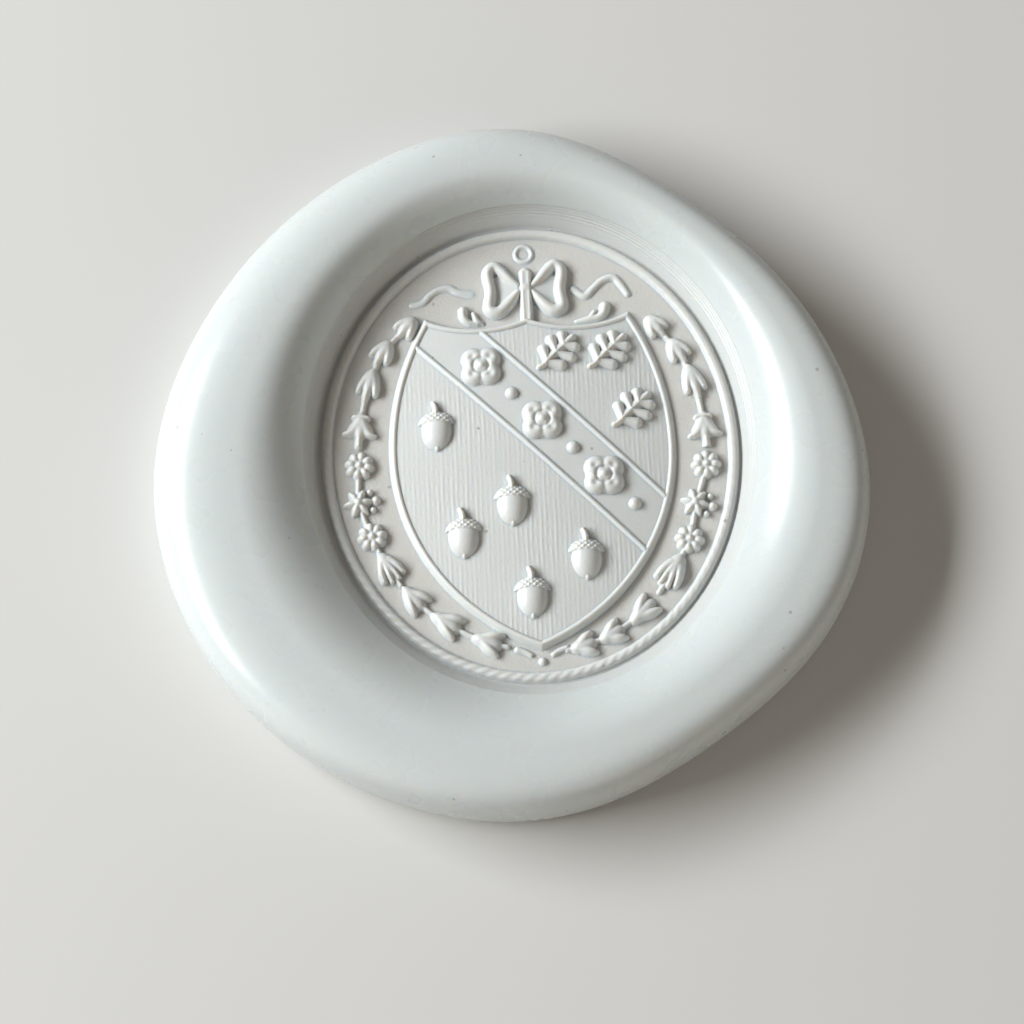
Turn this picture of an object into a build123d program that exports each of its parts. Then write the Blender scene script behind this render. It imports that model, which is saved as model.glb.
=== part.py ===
from build123d import *
import math
import os

# Wax seal: a poured puddle of sealing wax with an oval well pressed into it. On the well's flat
# floor stand a rope border, a ribbon bow, two garlands and a domed shield.
# Frame: origin on the underside below the oval's centre, +Y toward the bow, +Z up. Millimetres.

# Puddle of wax
WAX_RADIUS = 19.05          # mean reach of the puddle from the oval's centre
CLOCK_BULGE = (-1.1, -2.25, -2.2, -0.3, -0.05, 0.3, 1.5, 2.05, 1.9, 1.4, -0.1, -0.15)
                            # reach past the mean at twelve clock positions, anticlockwise from +X
RIM_HEIGHT = 4.7            # crest of the rim above the paper
EDGE_HEIGHT = 2.0           # height of the puddle's widest line
FOOT_INSET = 0.6            # the underside draws in from the widest line
FOOT_ANGLE = 45             # station of the quarter oval from the widest line to the underside
CREST_SHARE = 0.48          # place of the crest between the wall's top and the widest line
SHOULDER_ANGLES = (30, 60)  # stations of the quarter oval from the widest line to the crest
ROLL_SHARES = (0.35, 0.7)   # stations of the roll that steepens from the crest to the wall's top

# Pressed well
OVAL_WIDTH = 22.3           # outside of the rope border, across
OVAL_LENGTH = 25.7          # outside of the rope border, along
OVAL_LEDGE = 0.15           # flat strip of floor outside the rope
FLOOR_HEIGHT = 1.6          # pressed floor above the paper
WALL_RISE = 1.3             # straight height of the well's wall
WALL_DRAFT = 0.8            # how far the wall leans out over that height

# Rope border
ROPE_WIDTH = 0.6
ROPE_HEIGHT = 0.3
ROPE_ROUND = 0.14

# Garlands: eleven items a side on an oval inside the rope
GARLAND_WIDTH = 1.8
GARLAND_ROPE_GAP = 0.25
GARLAND_HEIGHT = 0.55
GARLAND_START = 43.9        # oval angle of the first husk, from +X on the right
GARLAND_TURN = 1.6          # the left garland starts this much higher, the right one lower
GARLAND_STEP = 11.85        # oval angle from one item to the next
GARLAND_SPACING = 0.22      # clear space between two items
UPPER_HUSKS = 4
FLOWERS = 3
LOWER_HUSKS = 3
HUSK_WIDTH = 1.45
SMALL_HUSK_WIDTH = 1.4
PETAL_LENGTH = 0.68         # a husk's parts as shares of its length and width
PETAL_WIDTH = 0.34
PETAL_START = 0.1
PETAL_SPREAD = 0.24
PETAL_SPLAY = 24.0          # side petals lean out by this angle
CUP_LENGTH = 0.48
CUP_WIDTH = 0.44
DAISY_PETALS = 8
DAISY_PETAL_WIDTH = 0.2     # petals as shares of the flower's diameter
ROSETTE_PETALS = 5
ROSETTE_PETAL_WIDTH = 0.32
FLOWER_PETAL_LENGTH = 0.34
FLOWER_EYE = 0.38
EYE_RISE = 0.12             # a flower's eye above its petals
STEM_WIDTH = 0.3
STEM_HEIGHT = 0.25
STEM_LENGTH = 0.9
STEM_X = 0.95               # a stem's middle, beside the shield's tip
STEM_TILT = 20.0
STEM_ROPE_GAP = 0.4
BEAD_DIAMETER = 0.46
BEAD_ROPE_GAP = 0.12

# Shield
SHIELD_GAP = 0.8            # garland to the shield's widest point
SHIELD_TIP_REACH = 1.0      # the shield's tip reaches into the garlands' band
SHIELD_SHOULDER = 2.15      # top corners stand in from the sides
BOW_ROOM = 4.5              # rope to the height of the top corners
SHIELD_DIP = 0.7            # each top arc dips below the corners
SHIELD_PEAK = 0.2           # the middle of the top stands below the corners
SHIELD_EDGE_RISE = 0.12     # field above the floor at the sides
SHIELD_CROWN = 0.62         # crown of the field from side to side
SHIELD_CROWN_ALONG = 0.45   # crown of the field from its middle to the tip
SHIELD_LINE_WIDTH = 0.35
SHIELD_LINE_RISE = 0.2

# Devices on the shield
BEND_FOOT = 4.75            # the diagonal band meets the right side this far below the widest line
BEND_WIDTH = 3.3
BEND_LINE_WIDTH = 0.3
BEND_LINE_RISE = 0.2
QUATREFOIL_PLACES = (0.24, 0.5, 0.76)   # shares of the band's length from the top left corner
QUATREFOIL_GAP = 0.1        # quatrefoil to the band's lines
QUATREFOIL_LOBE = 0.54      # a lobe's diameter as a share of the quatrefoil's
STUD_PLACES = (0.37, 0.63, 0.89)        # studs between the quatrefoils
STUD_DIAMETER = 0.7
STUD_RISE = 0.25
CHARGE_RISE = 0.45          # charges above the field
CHARGE_LENGTH_SHARE = 0.36  # an acorn or leaf fills this share of the shield's half width
CHARGE_WIDTH_SHARE = 0.26
LEAF_PLACES = ((0.21, 0.7), (0.57, 0.7), (0.72, 0.26))
                            # shares of the half width and of the height above the widest line
ACORN_PLACES = ((-0.67, -0.13), (-0.16, 0.27), (0.34, 0.55), (-0.51, 0.42), (-0.05, 0.73))
                            # shares of the half width and of the depth below the widest line
LEAF_RIB = (0.4, 0.8)       # a leaf's middle, as shares of a charge's width and length
LEAF_LOBES = ((-0.16, 0.3, 0.17), (0.1, 0.33, 0.17), (0.33, 0.14, 0.15))
                            # each lobe's place along, place across and radius, as such shares
LEAF_STALK = (0.12, 0.3)
NUT = (0.76, 0.84)          # an acorn's nut, cup and stalk, as shares of a charge's width and length
CUP = (0.96, 0.6)
CUP_RIM = 0.05              # the cup's rim above the middle of the acorn, as a share of its length
CUP_STALK = (0.14, 0.2)

# Ribbon bow
BOW_WIDTH = 4.5
BOW_HEIGHT = 3.2
BOW_LIFT = 0.05             # bow above the height of the shield's corners
BOW_RISE = 0.55
LOOP_RIBBON = 0.55          # width of the ribbon round a loop
LOOP_ROUND = 0.2
LOOP_WAIST = 0.5            # width of a loop where it enters the knot
LOOP_SHOULDER = 0.68        # a loop's corners as shares of the bow's half width and half height
LOOP_CORNER = 0.86
LOOP_PINCH = 0.88
LOOP_SLOT = 0.5
STRAP_WIDTH = 0.6
STRAP_RISE = 0.65
STRAP_RING_GAP = 0.5
RING_DIAMETER = 1.12
RING_WIRE = 0.22
RING_ROPE_GAP = 0.25
TAIL_WIDTH = 0.32
TAIL_GAP = 0.3              # loop to the start of a tail
TAIL_ROPE_GAP = 1.3         # end of a tail to the rope
TAIL_DROP = 0.6             # the end of a tail hangs this far below the knot
TAIL_HEADING = -50.0        # a tail sets off downward and outward
TAIL_DIP = 0.21             # bend radii and straight runs as shares of a tail's span
TAIL_CREST = 0.32
TAIL_RUN = 0.18
TAIL_DIP_TURN = 90.0
TAIL_CREST_TURN = 110.0
CURL_WIDTH = 0.3
CURL_BALL = 0.76
CURL_SHIELD_GAP = 0.3
CURL_HEADING = 0.0
CURL_RADIUS = 1.84
CURL_TURN = 52.0

# Derived places
ROPE_INNER_X = OVAL_WIDTH / 2 - ROPE_WIDTH
ROPE_INNER_Y = OVAL_LENGTH / 2 - ROPE_WIDTH
GARLAND_X = ROPE_INNER_X - GARLAND_ROPE_GAP - GARLAND_WIDTH / 2
GARLAND_Y = ROPE_INNER_Y - GARLAND_ROPE_GAP - GARLAND_WIDTH / 2
SHIELD_HALF = GARLAND_X - GARLAND_WIDTH / 2 - SHIELD_GAP
SHIELD_TIP = -(ROPE_INNER_Y - GARLAND_ROPE_GAP - GARLAND_WIDTH + SHIELD_TIP_REACH)
CORNER_X = SHIELD_HALF - SHIELD_SHOULDER
CORNER_Y = ROPE_INNER_Y - BOW_ROOM
SHIELD_TOP_MIDDLE = CORNER_Y - SHIELD_PEAK
SHIELD_TOP_LOW = CORNER_Y - SHIELD_DIP
KNOT_Y = CORNER_Y + BOW_LIFT + BOW_HEIGHT / 2
RING_Y = ROPE_INNER_Y - RING_ROPE_GAP - RING_DIAMETER / 2
CHARGE_LENGTH = SHIELD_HALF * CHARGE_LENGTH_SHARE
CHARGE_WIDTH = SHIELD_HALF * CHARGE_WIDTH_SHARE
QUATREFOIL_DIAMETER = BEND_WIDTH - 2 * (BEND_LINE_WIDTH + QUATREFOIL_GAP)
HOUR = 2 * math.pi / len(CLOCK_BULGE)
SIDES = {"right": 1, "left": -1}


def on_floor(sketch):
    """Lay a flat sketch on the pressed floor."""
    return Pos(0, 0, FLOOR_HEIGHT) * sketch


def raised(sketch, height):
    """Raise a flat sketch from the pressed floor."""
    return extrude(on_floor(sketch), amount=height)


def seated_half(solid):
    """Keep what stands above the pressed floor, so a round form sits flat on it."""
    return split(solid, bisect_by=Plane.XY.offset(FLOOR_HEIGHT), keep=Keep.TOP)


def placed(sketch, x, y, angle=0.0):
    return Pos(x, y) * Rot(0, 0, angle) * sketch


def heading_vector(degrees):
    angle = math.radians(degrees)
    return Vector(math.cos(angle), math.sin(angle))


# Wax body
def clock_section(reaches, z):
    """A closed smooth outline at height z through the reaches at twelve clock positions."""
    points = []
    for hour, reach in enumerate(reaches):
        angle = HOUR * hour
        points.append((reach * math.cos(angle), reach * math.sin(angle), z))
    return Wire([Spline(points, periodic=True)])


def oval_reaches(x_radius, y_radius):
    """Distance from the centre to an oval at each clock position."""
    reaches = []
    for hour in range(len(CLOCK_BULGE)):
        angle = HOUR * hour
        reaches.append(1 / math.hypot(math.cos(angle) / x_radius, math.sin(angle) / y_radius))
    return reaches


def between(inner, outer, share):
    return [a + (b - a) * share for a, b in zip(inner, outer)]


def make_wax_body():
    widest = [WAX_RADIUS + bulge for bulge in CLOCK_BULGE]
    underside = [reach - FOOT_INSET for reach in widest]
    floor = oval_reaches(OVAL_WIDTH / 2 + OVAL_LEDGE, OVAL_LENGTH / 2 + OVAL_LEDGE)
    wall_top = [reach + WALL_DRAFT for reach in floor]
    crest = between(wall_top, widest, CREST_SHARE)
    wall_top_height = FLOOR_HEIGHT + WALL_RISE

    under = math.radians(FOOT_ANGLE)
    foot_reaches = between(underside, widest, math.cos(under))
    sections = [clock_section(underside, 0.0)]
    sections.append(clock_section(foot_reaches, EDGE_HEIGHT * (1 - math.sin(under))))
    sections.append(clock_section(widest, EDGE_HEIGHT))
    for station in SHOULDER_ANGLES:
        angle = math.radians(station)
        height = EDGE_HEIGHT + (RIM_HEIGHT - EDGE_HEIGHT) * math.sin(angle)
        sections.append(clock_section(between(crest, widest, math.cos(angle)), height))
    sections.append(clock_section(crest, RIM_HEIGHT))
    for share in ROLL_SHARES:
        height = RIM_HEIGHT + (wall_top_height - RIM_HEIGHT) * share**2
        sections.append(clock_section(between(crest, wall_top, share), height))
    sections.append(clock_section(wall_top, wall_top_height))
    sections.append(clock_section(floor, FLOOR_HEIGHT))
    return Solid.make_loft(sections)


# Rope border
def make_rope_border():
    band = Ellipse(OVAL_WIDTH / 2, OVAL_LENGTH / 2) - Ellipse(ROPE_INNER_X, ROPE_INNER_Y)
    rope = raised(band, ROPE_HEIGHT)
    return fillet(rope.faces().sort_by(Axis.Z)[-1].edges(), ROPE_ROUND)


# Garland items, drawn pointing along +X
def husk_sketch(length, width):
    """A bellflower: a narrow cup and three petals that open along +X."""
    petal = Ellipse(length * PETAL_LENGTH / 2, width * PETAL_WIDTH / 2)
    cup = Ellipse(length * CUP_LENGTH / 2, width * CUP_WIDTH / 2)
    sketch = Pos(length * (1 - PETAL_LENGTH) / 2, 0) * petal
    sketch += Pos(-length * (1 - CUP_LENGTH) / 2, 0) * cup
    for side in (1, -1):
        sketch += placed(petal, length * PETAL_START, side * width * PETAL_SPREAD, side * PETAL_SPLAY)
    return sketch


def flower_sketch(diameter, petals, petal_width):
    """Petals round an eye."""
    sketch = Circle(diameter * FLOWER_EYE / 2)
    petal = Ellipse(diameter * FLOWER_PETAL_LENGTH / 2, diameter * petal_width / 2)
    reach = diameter * (1 - FLOWER_PETAL_LENGTH) / 2
    for number in range(petals):
        sketch += Rot(0, 0, 360 / petals * number) * Pos(reach, 0) * petal
    return sketch


def on_side(side, solids):
    """Solids drawn on the right, mirrored for the left."""
    return solids if side > 0 else [mirror(solid, about=Plane.YZ) for solid in solids]


def garland_point(side, index):
    angle = math.radians(GARLAND_START - side * GARLAND_TURN - GARLAND_STEP * index)
    return Vector(GARLAND_X * math.cos(angle), GARLAND_Y * math.sin(angle))


def garland_item(side, index):
    """Place, heading toward the next item and clear length of one item, drawn on the right."""
    here = garland_point(side, index)
    ahead = garland_point(side, index + 0.5)
    behind = garland_point(side, index - 0.5)
    run = ahead - behind
    heading = math.degrees(math.atan2(run.Y, run.X))
    return here, heading, run.length - GARLAND_SPACING


def make_husks(side, first, count, width, opens):
    """A run of husks; opens is 1 when they open toward the next item and -1 toward the last."""
    husks = []
    for index in range(first, first + count):
        here, heading, length = garland_item(side, index)
        if opens < 0:
            heading += 180
        sketch = placed(husk_sketch(length, width), here.X, here.Y, heading)
        husks.append(raised(sketch, GARLAND_HEIGHT))
    return on_side(side, husks)


def make_flowers(side):
    """Two daisies with a five-petalled rosette between them."""
    flowers = []
    for number in range(FLOWERS):
        here, heading, length = garland_item(side, UPPER_HUSKS + number)
        diameter = min(length, GARLAND_WIDTH)
        if number == FLOWERS // 2:
            outline = flower_sketch(diameter, ROSETTE_PETALS, ROSETTE_PETAL_WIDTH)
        else:
            outline = flower_sketch(diameter, DAISY_PETALS, DAISY_PETAL_WIDTH)
        flower = raised(placed(outline, here.X, here.Y, heading), GARLAND_HEIGHT)
        eye = Pos(here.X, here.Y) * Circle(diameter * FLOWER_EYE / 2)
        flowers.append(flower + raised(eye, GARLAND_HEIGHT + EYE_RISE))
    return on_side(side, flowers)


def make_stem():
    """The bare stem from the last husk toward the bottom bead, below the shield's tip."""
    centre_y = -(ROPE_INNER_Y - STEM_ROPE_GAP - STEM_WIDTH / 2)
    slot = SlotOverall(STEM_LENGTH, STEM_WIDTH)
    return raised(placed(slot, STEM_X, centre_y, STEM_TILT), STEM_HEIGHT)


def make_bottom_bead():
    centre_y = -(ROPE_INNER_Y - BEAD_ROPE_GAP - BEAD_DIAMETER / 2)
    return seated_half(Pos(0, centre_y, FLOOR_HEIGHT) * Sphere(BEAD_DIAMETER / 2))


# Shield
def side_arc_centre(reach_x, reach_y):
    """X of the centre, on the widest line, of the arc from the widest point through a reach."""
    return (SHIELD_HALF**2 - reach_x**2 - reach_y**2) / (2 * (SHIELD_HALF - reach_x))


def arc_middle(centre_x, height):
    """Point at the given height on the side arc about a centre on the widest line."""
    radius = SHIELD_HALF - centre_x
    return (centre_x + math.sqrt(radius**2 - height**2), height)


def make_shield_sketch():
    upper = arc_middle(side_arc_centre(CORNER_X, CORNER_Y), CORNER_Y / 2)
    lower = arc_middle(side_arc_centre(0, SHIELD_TIP), SHIELD_TIP / 2)
    corner = (CORNER_X, CORNER_Y)
    widest = (SHIELD_HALF, 0)
    half = Curve() + [
        ThreePointArc((0, SHIELD_TOP_MIDDLE), (CORNER_X / 2, SHIELD_TOP_LOW), corner),
        ThreePointArc(corner, upper, widest),
        ThreePointArc(widest, lower, (0, SHIELD_TIP)),
    ]
    outline = half + mirror(half, about=Plane.YZ)
    return make_face(outline.edges())


def make_dome(rise):
    """A barrel far larger than the shield, whose top is the crowned field lifted by rise."""
    across = SHIELD_HALF**2 / (2 * SHIELD_CROWN)
    along = SHIELD_TIP**2 / (2 * SHIELD_CROWN_ALONG)
    top = FLOOR_HEIGHT + SHIELD_EDGE_RISE + SHIELD_CROWN + rise
    return Pos(0, 0, top - along) * Rot(0, 90, 0) * Torus(along - across, across)


def on_shield(sketch, rise, field):
    """Raise a flat sketch by the same rise all over the crowned field."""
    prism = raised(sketch, SHIELD_EDGE_RISE + SHIELD_CROWN + 2 * rise)
    return (prism & make_dome(rise)) - field


def bend_middle():
    """Middle line of the diagonal band, from the top left corner to the right side."""
    foot = arc_middle(side_arc_centre(0, SHIELD_TIP), -BEND_FOOT)
    return Line((-CORNER_X, CORNER_Y), foot)


def bend_angle():
    along = bend_middle() % 0
    return math.degrees(math.atan2(along.Y, along.X))


def make_bend_lines(inside):
    """The two lines of the diagonal band, clipped to the field inside the shield's own line."""
    lines = []
    for side in (1, -1):
        offset_across = side * (BEND_WIDTH - BEND_LINE_WIDTH) / 2
        bar = Pos(0, offset_across) * Rectangle(4 * OVAL_LENGTH, BEND_LINE_WIDTH)
        lines.append(placed(bar, -CORNER_X, CORNER_Y, bend_angle()) & inside)
    return lines


def quatrefoil_sketch():
    lobe = QUATREFOIL_DIAMETER * QUATREFOIL_LOBE / 2
    reach = QUATREFOIL_DIAMETER / 2 - lobe
    sketch = Circle(reach)
    for quarter in range(4):
        sketch += Rot(0, 0, 90 * quarter) * Pos(reach, 0) * Circle(lobe)
    return sketch


def charge_ellipse(shares):
    return Ellipse(CHARGE_WIDTH * shares[0] / 2, CHARGE_LENGTH * shares[1] / 2)


def charge_bar(shares):
    return Rectangle(CHARGE_WIDTH * shares[0], CHARGE_LENGTH * shares[1])


def oak_leaf_sketch():
    """A lobed leaf with its stalk at the bottom, pointing along +Y."""
    sketch = charge_ellipse(LEAF_RIB)
    for along, across, size in LEAF_LOBES:
        for side in (1, -1):
            lobe = Circle(CHARGE_WIDTH * size)
            sketch += Pos(side * across * CHARGE_WIDTH, along * CHARGE_LENGTH) * lobe
    return sketch + Pos(0, -CHARGE_LENGTH * (1 - LEAF_STALK[1]) / 2) * charge_bar(LEAF_STALK)


def acorn_sketch():
    """A nut that hangs from a wider cup, whose rim is cut level, with its stalk above."""
    nut = Pos(0, -CHARGE_LENGTH * (1 - NUT[1]) / 2) * charge_ellipse(NUT)
    above_rim = Pos(0, CHARGE_LENGTH * (0.5 + CUP_RIM)) * Rectangle(CHARGE_WIDTH, CHARGE_LENGTH)
    stalk = Pos(0, CHARGE_LENGTH * (1 - CUP_STALK[1]) / 2) * charge_bar(CUP_STALK)
    return nut + (charge_ellipse(CUP) & above_rim) + stalk


def make_acorns(field):
    acorns = []
    for share_x, share_y in ACORN_PLACES:
        spot = (share_x * SHIELD_HALF, share_y * SHIELD_TIP)
        acorns.append(on_shield(placed(acorn_sketch(), *spot), CHARGE_RISE, field))
    return acorns


def make_oak_leaves(field):
    leaves = []
    for share_x, share_y in LEAF_PLACES:
        spot = (share_x * SHIELD_HALF, share_y * CORNER_Y)
        leaf = placed(oak_leaf_sketch(), *spot, bend_angle())
        leaves.append(on_shield(leaf, CHARGE_RISE, field))
    return leaves


def make_bend_charges(sketch, places, rise, field):
    """Copies of one flat sketch along the middle of the diagonal band."""
    charges = []
    for share in places:
        spot = bend_middle() @ share
        charges.append(on_shield(placed(sketch, spot.X, spot.Y, bend_angle()), rise, field))
    return charges


# Ribbon bow, drawn on the right and mirrored for the left
def loop_sketch():
    """A pinched loop of ribbon: two lobes drawn in at the knot and at the outer side."""
    half_x = BOW_WIDTH / 2
    half_y = BOW_HEIGHT / 2
    pinch = half_x * LOOP_PINCH
    upper = [
        (STRAP_WIDTH / 2, LOOP_WAIST / 2),
        (half_x * LOOP_SHOULDER, half_y),
        (half_x, half_y * LOOP_CORNER),
    ]
    lower = [(x, -y) for x, y in reversed(upper)]
    outer = make_face(Polyline(*upper, (pinch, 0), *lower, close=True))
    outer = fillet(outer.vertices().sort_by(Axis.X)[2:], LOOP_ROUND)
    slot_x = pinch - LOOP_RIBBON
    slot_y = half_y * LOOP_SLOT
    slot_point = (STRAP_WIDTH / 2 + LOOP_RIBBON, 0)
    slot = make_face(Polyline((slot_x, slot_y), (slot_x, -slot_y), slot_point, close=True))
    return Pos(0, KNOT_Y) * (outer - slot)


def make_loop():
    return raised(loop_sketch(), BOW_RISE)


def make_strap(shield):
    """The knot's strap, from below the ring down to the shield's top."""
    top = RING_Y - RING_DIAMETER / 2 - STRAP_RING_GAP
    height = top - SHIELD_TOP_LOW
    strap = Pos(0, SHIELD_TOP_LOW + height / 2) * Rectangle(STRAP_WIDTH, height)
    return raised(strap - shield, STRAP_RISE)


def half_round(path, width):
    """A ridge with a half-round section along a path on the pressed floor."""
    start = path @ 0
    section = Plane(origin=start, z_dir=path % 0) * Circle(width / 2)
    return seated_half(Pos(0, 0, FLOOR_HEIGHT) * sweep(section, path=path))


def make_tail():
    """A wavy ribbon end beside the bow, on the right, that stops short of the rope."""
    start_x = BOW_WIDTH / 2 + TAIL_GAP
    rope_x = ROPE_INNER_X * math.sqrt(1 - ((KNOT_Y - TAIL_DROP) / ROPE_INNER_Y) ** 2)
    span = rope_x - TAIL_ROPE_GAP - start_x
    dip = JernArc((start_x, KNOT_Y), heading_vector(TAIL_HEADING), span * TAIL_DIP, TAIL_DIP_TURN)
    rise = Line(dip @ 1, (dip @ 1) + (dip % 1) * span * TAIL_RUN)
    crest = JernArc(rise @ 1, rise % 1, span * TAIL_CREST, -TAIL_CREST_TURN)
    fall = Line(crest @ 1, (crest @ 1) + (crest % 1) * span * TAIL_RUN)
    return half_round(Wire([dip, rise, crest, fall]), TAIL_WIDTH)


def make_curl():
    """A short ribbon end that lies over the shield's top and rolls up into a ball, on the right."""
    start = (CORNER_X / 2, SHIELD_TOP_LOW + CURL_WIDTH / 2 + CURL_SHIELD_GAP)
    lift = JernArc(start, heading_vector(CURL_HEADING), CURL_RADIUS, CURL_TURN)
    ridge = half_round(Wire([lift]), CURL_WIDTH)
    ball = Pos(*(lift @ 1)) * Pos(0, 0, FLOOR_HEIGHT) * Sphere(CURL_BALL / 2)
    return ridge + seated_half(ball)


def make_ring():
    torus = Torus((RING_DIAMETER - RING_WIRE) / 2, RING_WIRE / 2)
    return seated_half(Pos(0, RING_Y, FLOOR_HEIGHT) * torus)


def make_garland(side):
    """The runs of one garland. All the lower husks open anticlockwise round the oval."""
    crown = UPPER_HUSKS - 1
    fan = UPPER_HUSKS + FLOWERS
    upper = make_husks(side, 0, crown, HUSK_WIDTH, 1)
    return {
        "upper_husks": upper + make_husks(side, crown, 1, GARLAND_WIDTH, 1),
        "flowers": make_flowers(side),
        "fan_husk": make_husks(side, fan, 1, HUSK_WIDTH, 1),
        "lower_husks": make_husks(side, fan + 1, LOWER_HUSKS, SMALL_HUSK_WIDTH, -side),
    }


def build_nodes():
    nodes = {"wax_body": [make_wax_body()], "rope_border": [make_rope_border()]}

    shield = make_shield_sketch()
    inside = offset(shield, amount=-SHIELD_LINE_WIDTH, kind=Kind.INTERSECTION)
    field = raised(shield, SHIELD_EDGE_RISE + 2 * SHIELD_CROWN) & make_dome(0)
    nodes["shield_field"] = [field]
    nodes["shield_outline"] = [on_shield(shield - inside, SHIELD_LINE_RISE, field)]
    nodes["bend_lines"] = [on_shield(line, BEND_LINE_RISE, field) for line in make_bend_lines(inside)]
    quatrefoil = quatrefoil_sketch()
    nodes["bend_quatrefoils"] = make_bend_charges(quatrefoil, QUATREFOIL_PLACES, CHARGE_RISE, field)
    stud = Circle(STUD_DIAMETER / 2)
    nodes["bend_studs"] = make_bend_charges(stud, STUD_PLACES, STUD_RISE, field)
    nodes["oak_leaves"] = make_oak_leaves(field)
    nodes["acorns"] = make_acorns(field)

    for name, side in SIDES.items():
        for run, solids in make_garland(side).items():
            nodes[name + "_" + run] = solids
        nodes[name + "_stem"] = on_side(side, [make_stem()])
        nodes[name + "_ribbon_tail"] = on_side(side, [make_tail()])
        nodes[name + "_ribbon_curl"] = on_side(side, [make_curl()])
        nodes[name + "_bow_loop"] = on_side(side, [make_loop()])
    nodes["bottom_bead"] = [make_bottom_bead()]
    nodes["bow_strap"] = [make_strap(shield)]
    nodes["hanging_ring"] = [make_ring()]
    return nodes


os.makedirs("parts", exist_ok=True)
for name, solids in build_nodes().items():
    bodies = [body for solid in solids for body in solid.solids()]
    export_step(Compound(children=bodies), f"parts/{name}.step")
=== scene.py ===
"""Wax seal: a poured puddle of pale wax, pressed with a ribbon bow, two garlands and a crowned shield.

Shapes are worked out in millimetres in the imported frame, and become metres as each mesh is made.
"""

import math

import bpy
import numpy as np
from bpy.props import FloatProperty, FloatVectorProperty, PointerProperty
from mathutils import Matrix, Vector


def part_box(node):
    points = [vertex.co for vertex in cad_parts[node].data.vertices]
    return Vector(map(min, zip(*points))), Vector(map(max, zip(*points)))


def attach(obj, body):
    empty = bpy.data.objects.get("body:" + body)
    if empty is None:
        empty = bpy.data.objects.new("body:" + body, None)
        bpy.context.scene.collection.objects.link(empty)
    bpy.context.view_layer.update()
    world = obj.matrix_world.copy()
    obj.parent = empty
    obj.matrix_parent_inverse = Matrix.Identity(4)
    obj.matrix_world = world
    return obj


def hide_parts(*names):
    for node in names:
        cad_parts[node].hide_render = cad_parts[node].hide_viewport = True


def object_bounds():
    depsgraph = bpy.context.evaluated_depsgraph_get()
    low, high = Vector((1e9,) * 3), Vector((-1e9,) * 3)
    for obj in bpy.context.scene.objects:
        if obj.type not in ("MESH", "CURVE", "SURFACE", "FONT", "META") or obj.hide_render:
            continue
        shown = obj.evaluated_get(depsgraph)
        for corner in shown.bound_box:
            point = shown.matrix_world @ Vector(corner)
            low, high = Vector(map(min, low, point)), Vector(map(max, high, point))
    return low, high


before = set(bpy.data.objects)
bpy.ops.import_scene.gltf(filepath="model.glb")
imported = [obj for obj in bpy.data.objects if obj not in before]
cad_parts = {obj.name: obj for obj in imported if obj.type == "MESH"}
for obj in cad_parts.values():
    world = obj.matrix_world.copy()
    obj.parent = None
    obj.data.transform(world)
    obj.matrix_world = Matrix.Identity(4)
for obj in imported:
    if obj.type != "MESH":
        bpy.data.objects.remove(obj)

bl_info = {
    "name": "Wax Seal",
    "version": (1, 0, 0),
    "blender": (4, 5, 0),
    "location": "View3D > Sidebar > Wax Seal",
    "description": "Builds a pressed wax seal on its packed parts",
    "category": "Add Mesh",
}

CAD_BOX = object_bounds()
MM = 0.001


def packed_box(node):
    """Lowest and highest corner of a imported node, in millimetres."""
    low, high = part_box(node)
    return np.array(low) / MM, np.array(high) / MM


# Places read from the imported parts
ROPE_LOW, ROPE_HIGH = packed_box("rope_border")
FIELD_LOW, FIELD_HIGH = packed_box("shield_field")
RING_LOW, RING_HIGH = packed_box("hanging_ring")
BEAD_LOW, BEAD_HIGH = packed_box("bottom_bead")
FLOOR = ROPE_LOW[2]
SHIELD_HALF = FIELD_HIGH[0]
SHIELD_TIP = FIELD_LOW[1]
CORNER_Y = FIELD_HIGH[1]
FIELD_TOP = FIELD_HIGH[2] - FLOOR

# Puddle of wax
EDGE_HEIGHT = 2.0
FOOT_INSET = 0.6
CREST_SHARE = 0.5           # place of the crest between the lip and the widest line
CREST_SWING = 0.07          # it stands further out by this share toward the heading
CREST_HEADING = -35.0
SHOULDER_FULLNESS = 2.9     # power of the shoulder's curve
FULLNESS_SWING = (0.45, -0.75)  # how much fuller it is toward +X and toward +Y
FALL = 2.0                  # power of the inner slope, which steepens toward the lip
FALL_SWING = 0.8            # it steepens more toward the heading
FALL_HEADING = 110.0
LIP_SHORT = 0.06            # the slope stops this share short of the lip, which leaves it rounded
SLOPE_CROWDING = 1.4        # the slope's rings stand closer toward the lip
RIM_LIFT = 0.1              # the rim is higher toward -X
RIM_WAVES = ((2, 1.0, 0.6), (3, 0.6, 2.1), (5, 0.4, 4.0))  # waves round the rim, share and start
SKIN_SHRINK = (0.15, 0.12)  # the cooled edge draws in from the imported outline, and more toward +Y
WALL_DRAFT = 0.8
WALL_RISE = 1.3
WALL_HOLLOW = 0.08          # the wall is dished by this much
HOLLOW_SWING = 0.15         # it stands steeper under the lip toward the crease
CREASE_DEPTH = 0.09         # sharp crease under the wall's lip, deepest at the heading
CREASE_HEADING = 110.0
CREASE_PLACE = 0.06         # shares of the way down the wall
CREASE_HALF = 0.03
LINES_HEADING = 35.0        # the wall's fine lines show most here
LINES_LEAST = 0.35
LINES_START = (0.0, 0.06)   # shares of the way down over which they fade in and out
LINES_END = (0.45, 0.75)
LEDGE = 0.15
FLOOR_SHARE = 0.6           # the floor's rings run in to this share of the wall's foot
BODY_SPOKES = 600
FOOT_RINGS = 10
SHOULDER_RINGS = 35
SLOPE_RINGS = 40
WALL_RINGS = 60
FLOOR_RINGS = 8
CLOCK_READINGS = 48
CLOCK_WAVES = 8

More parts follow.
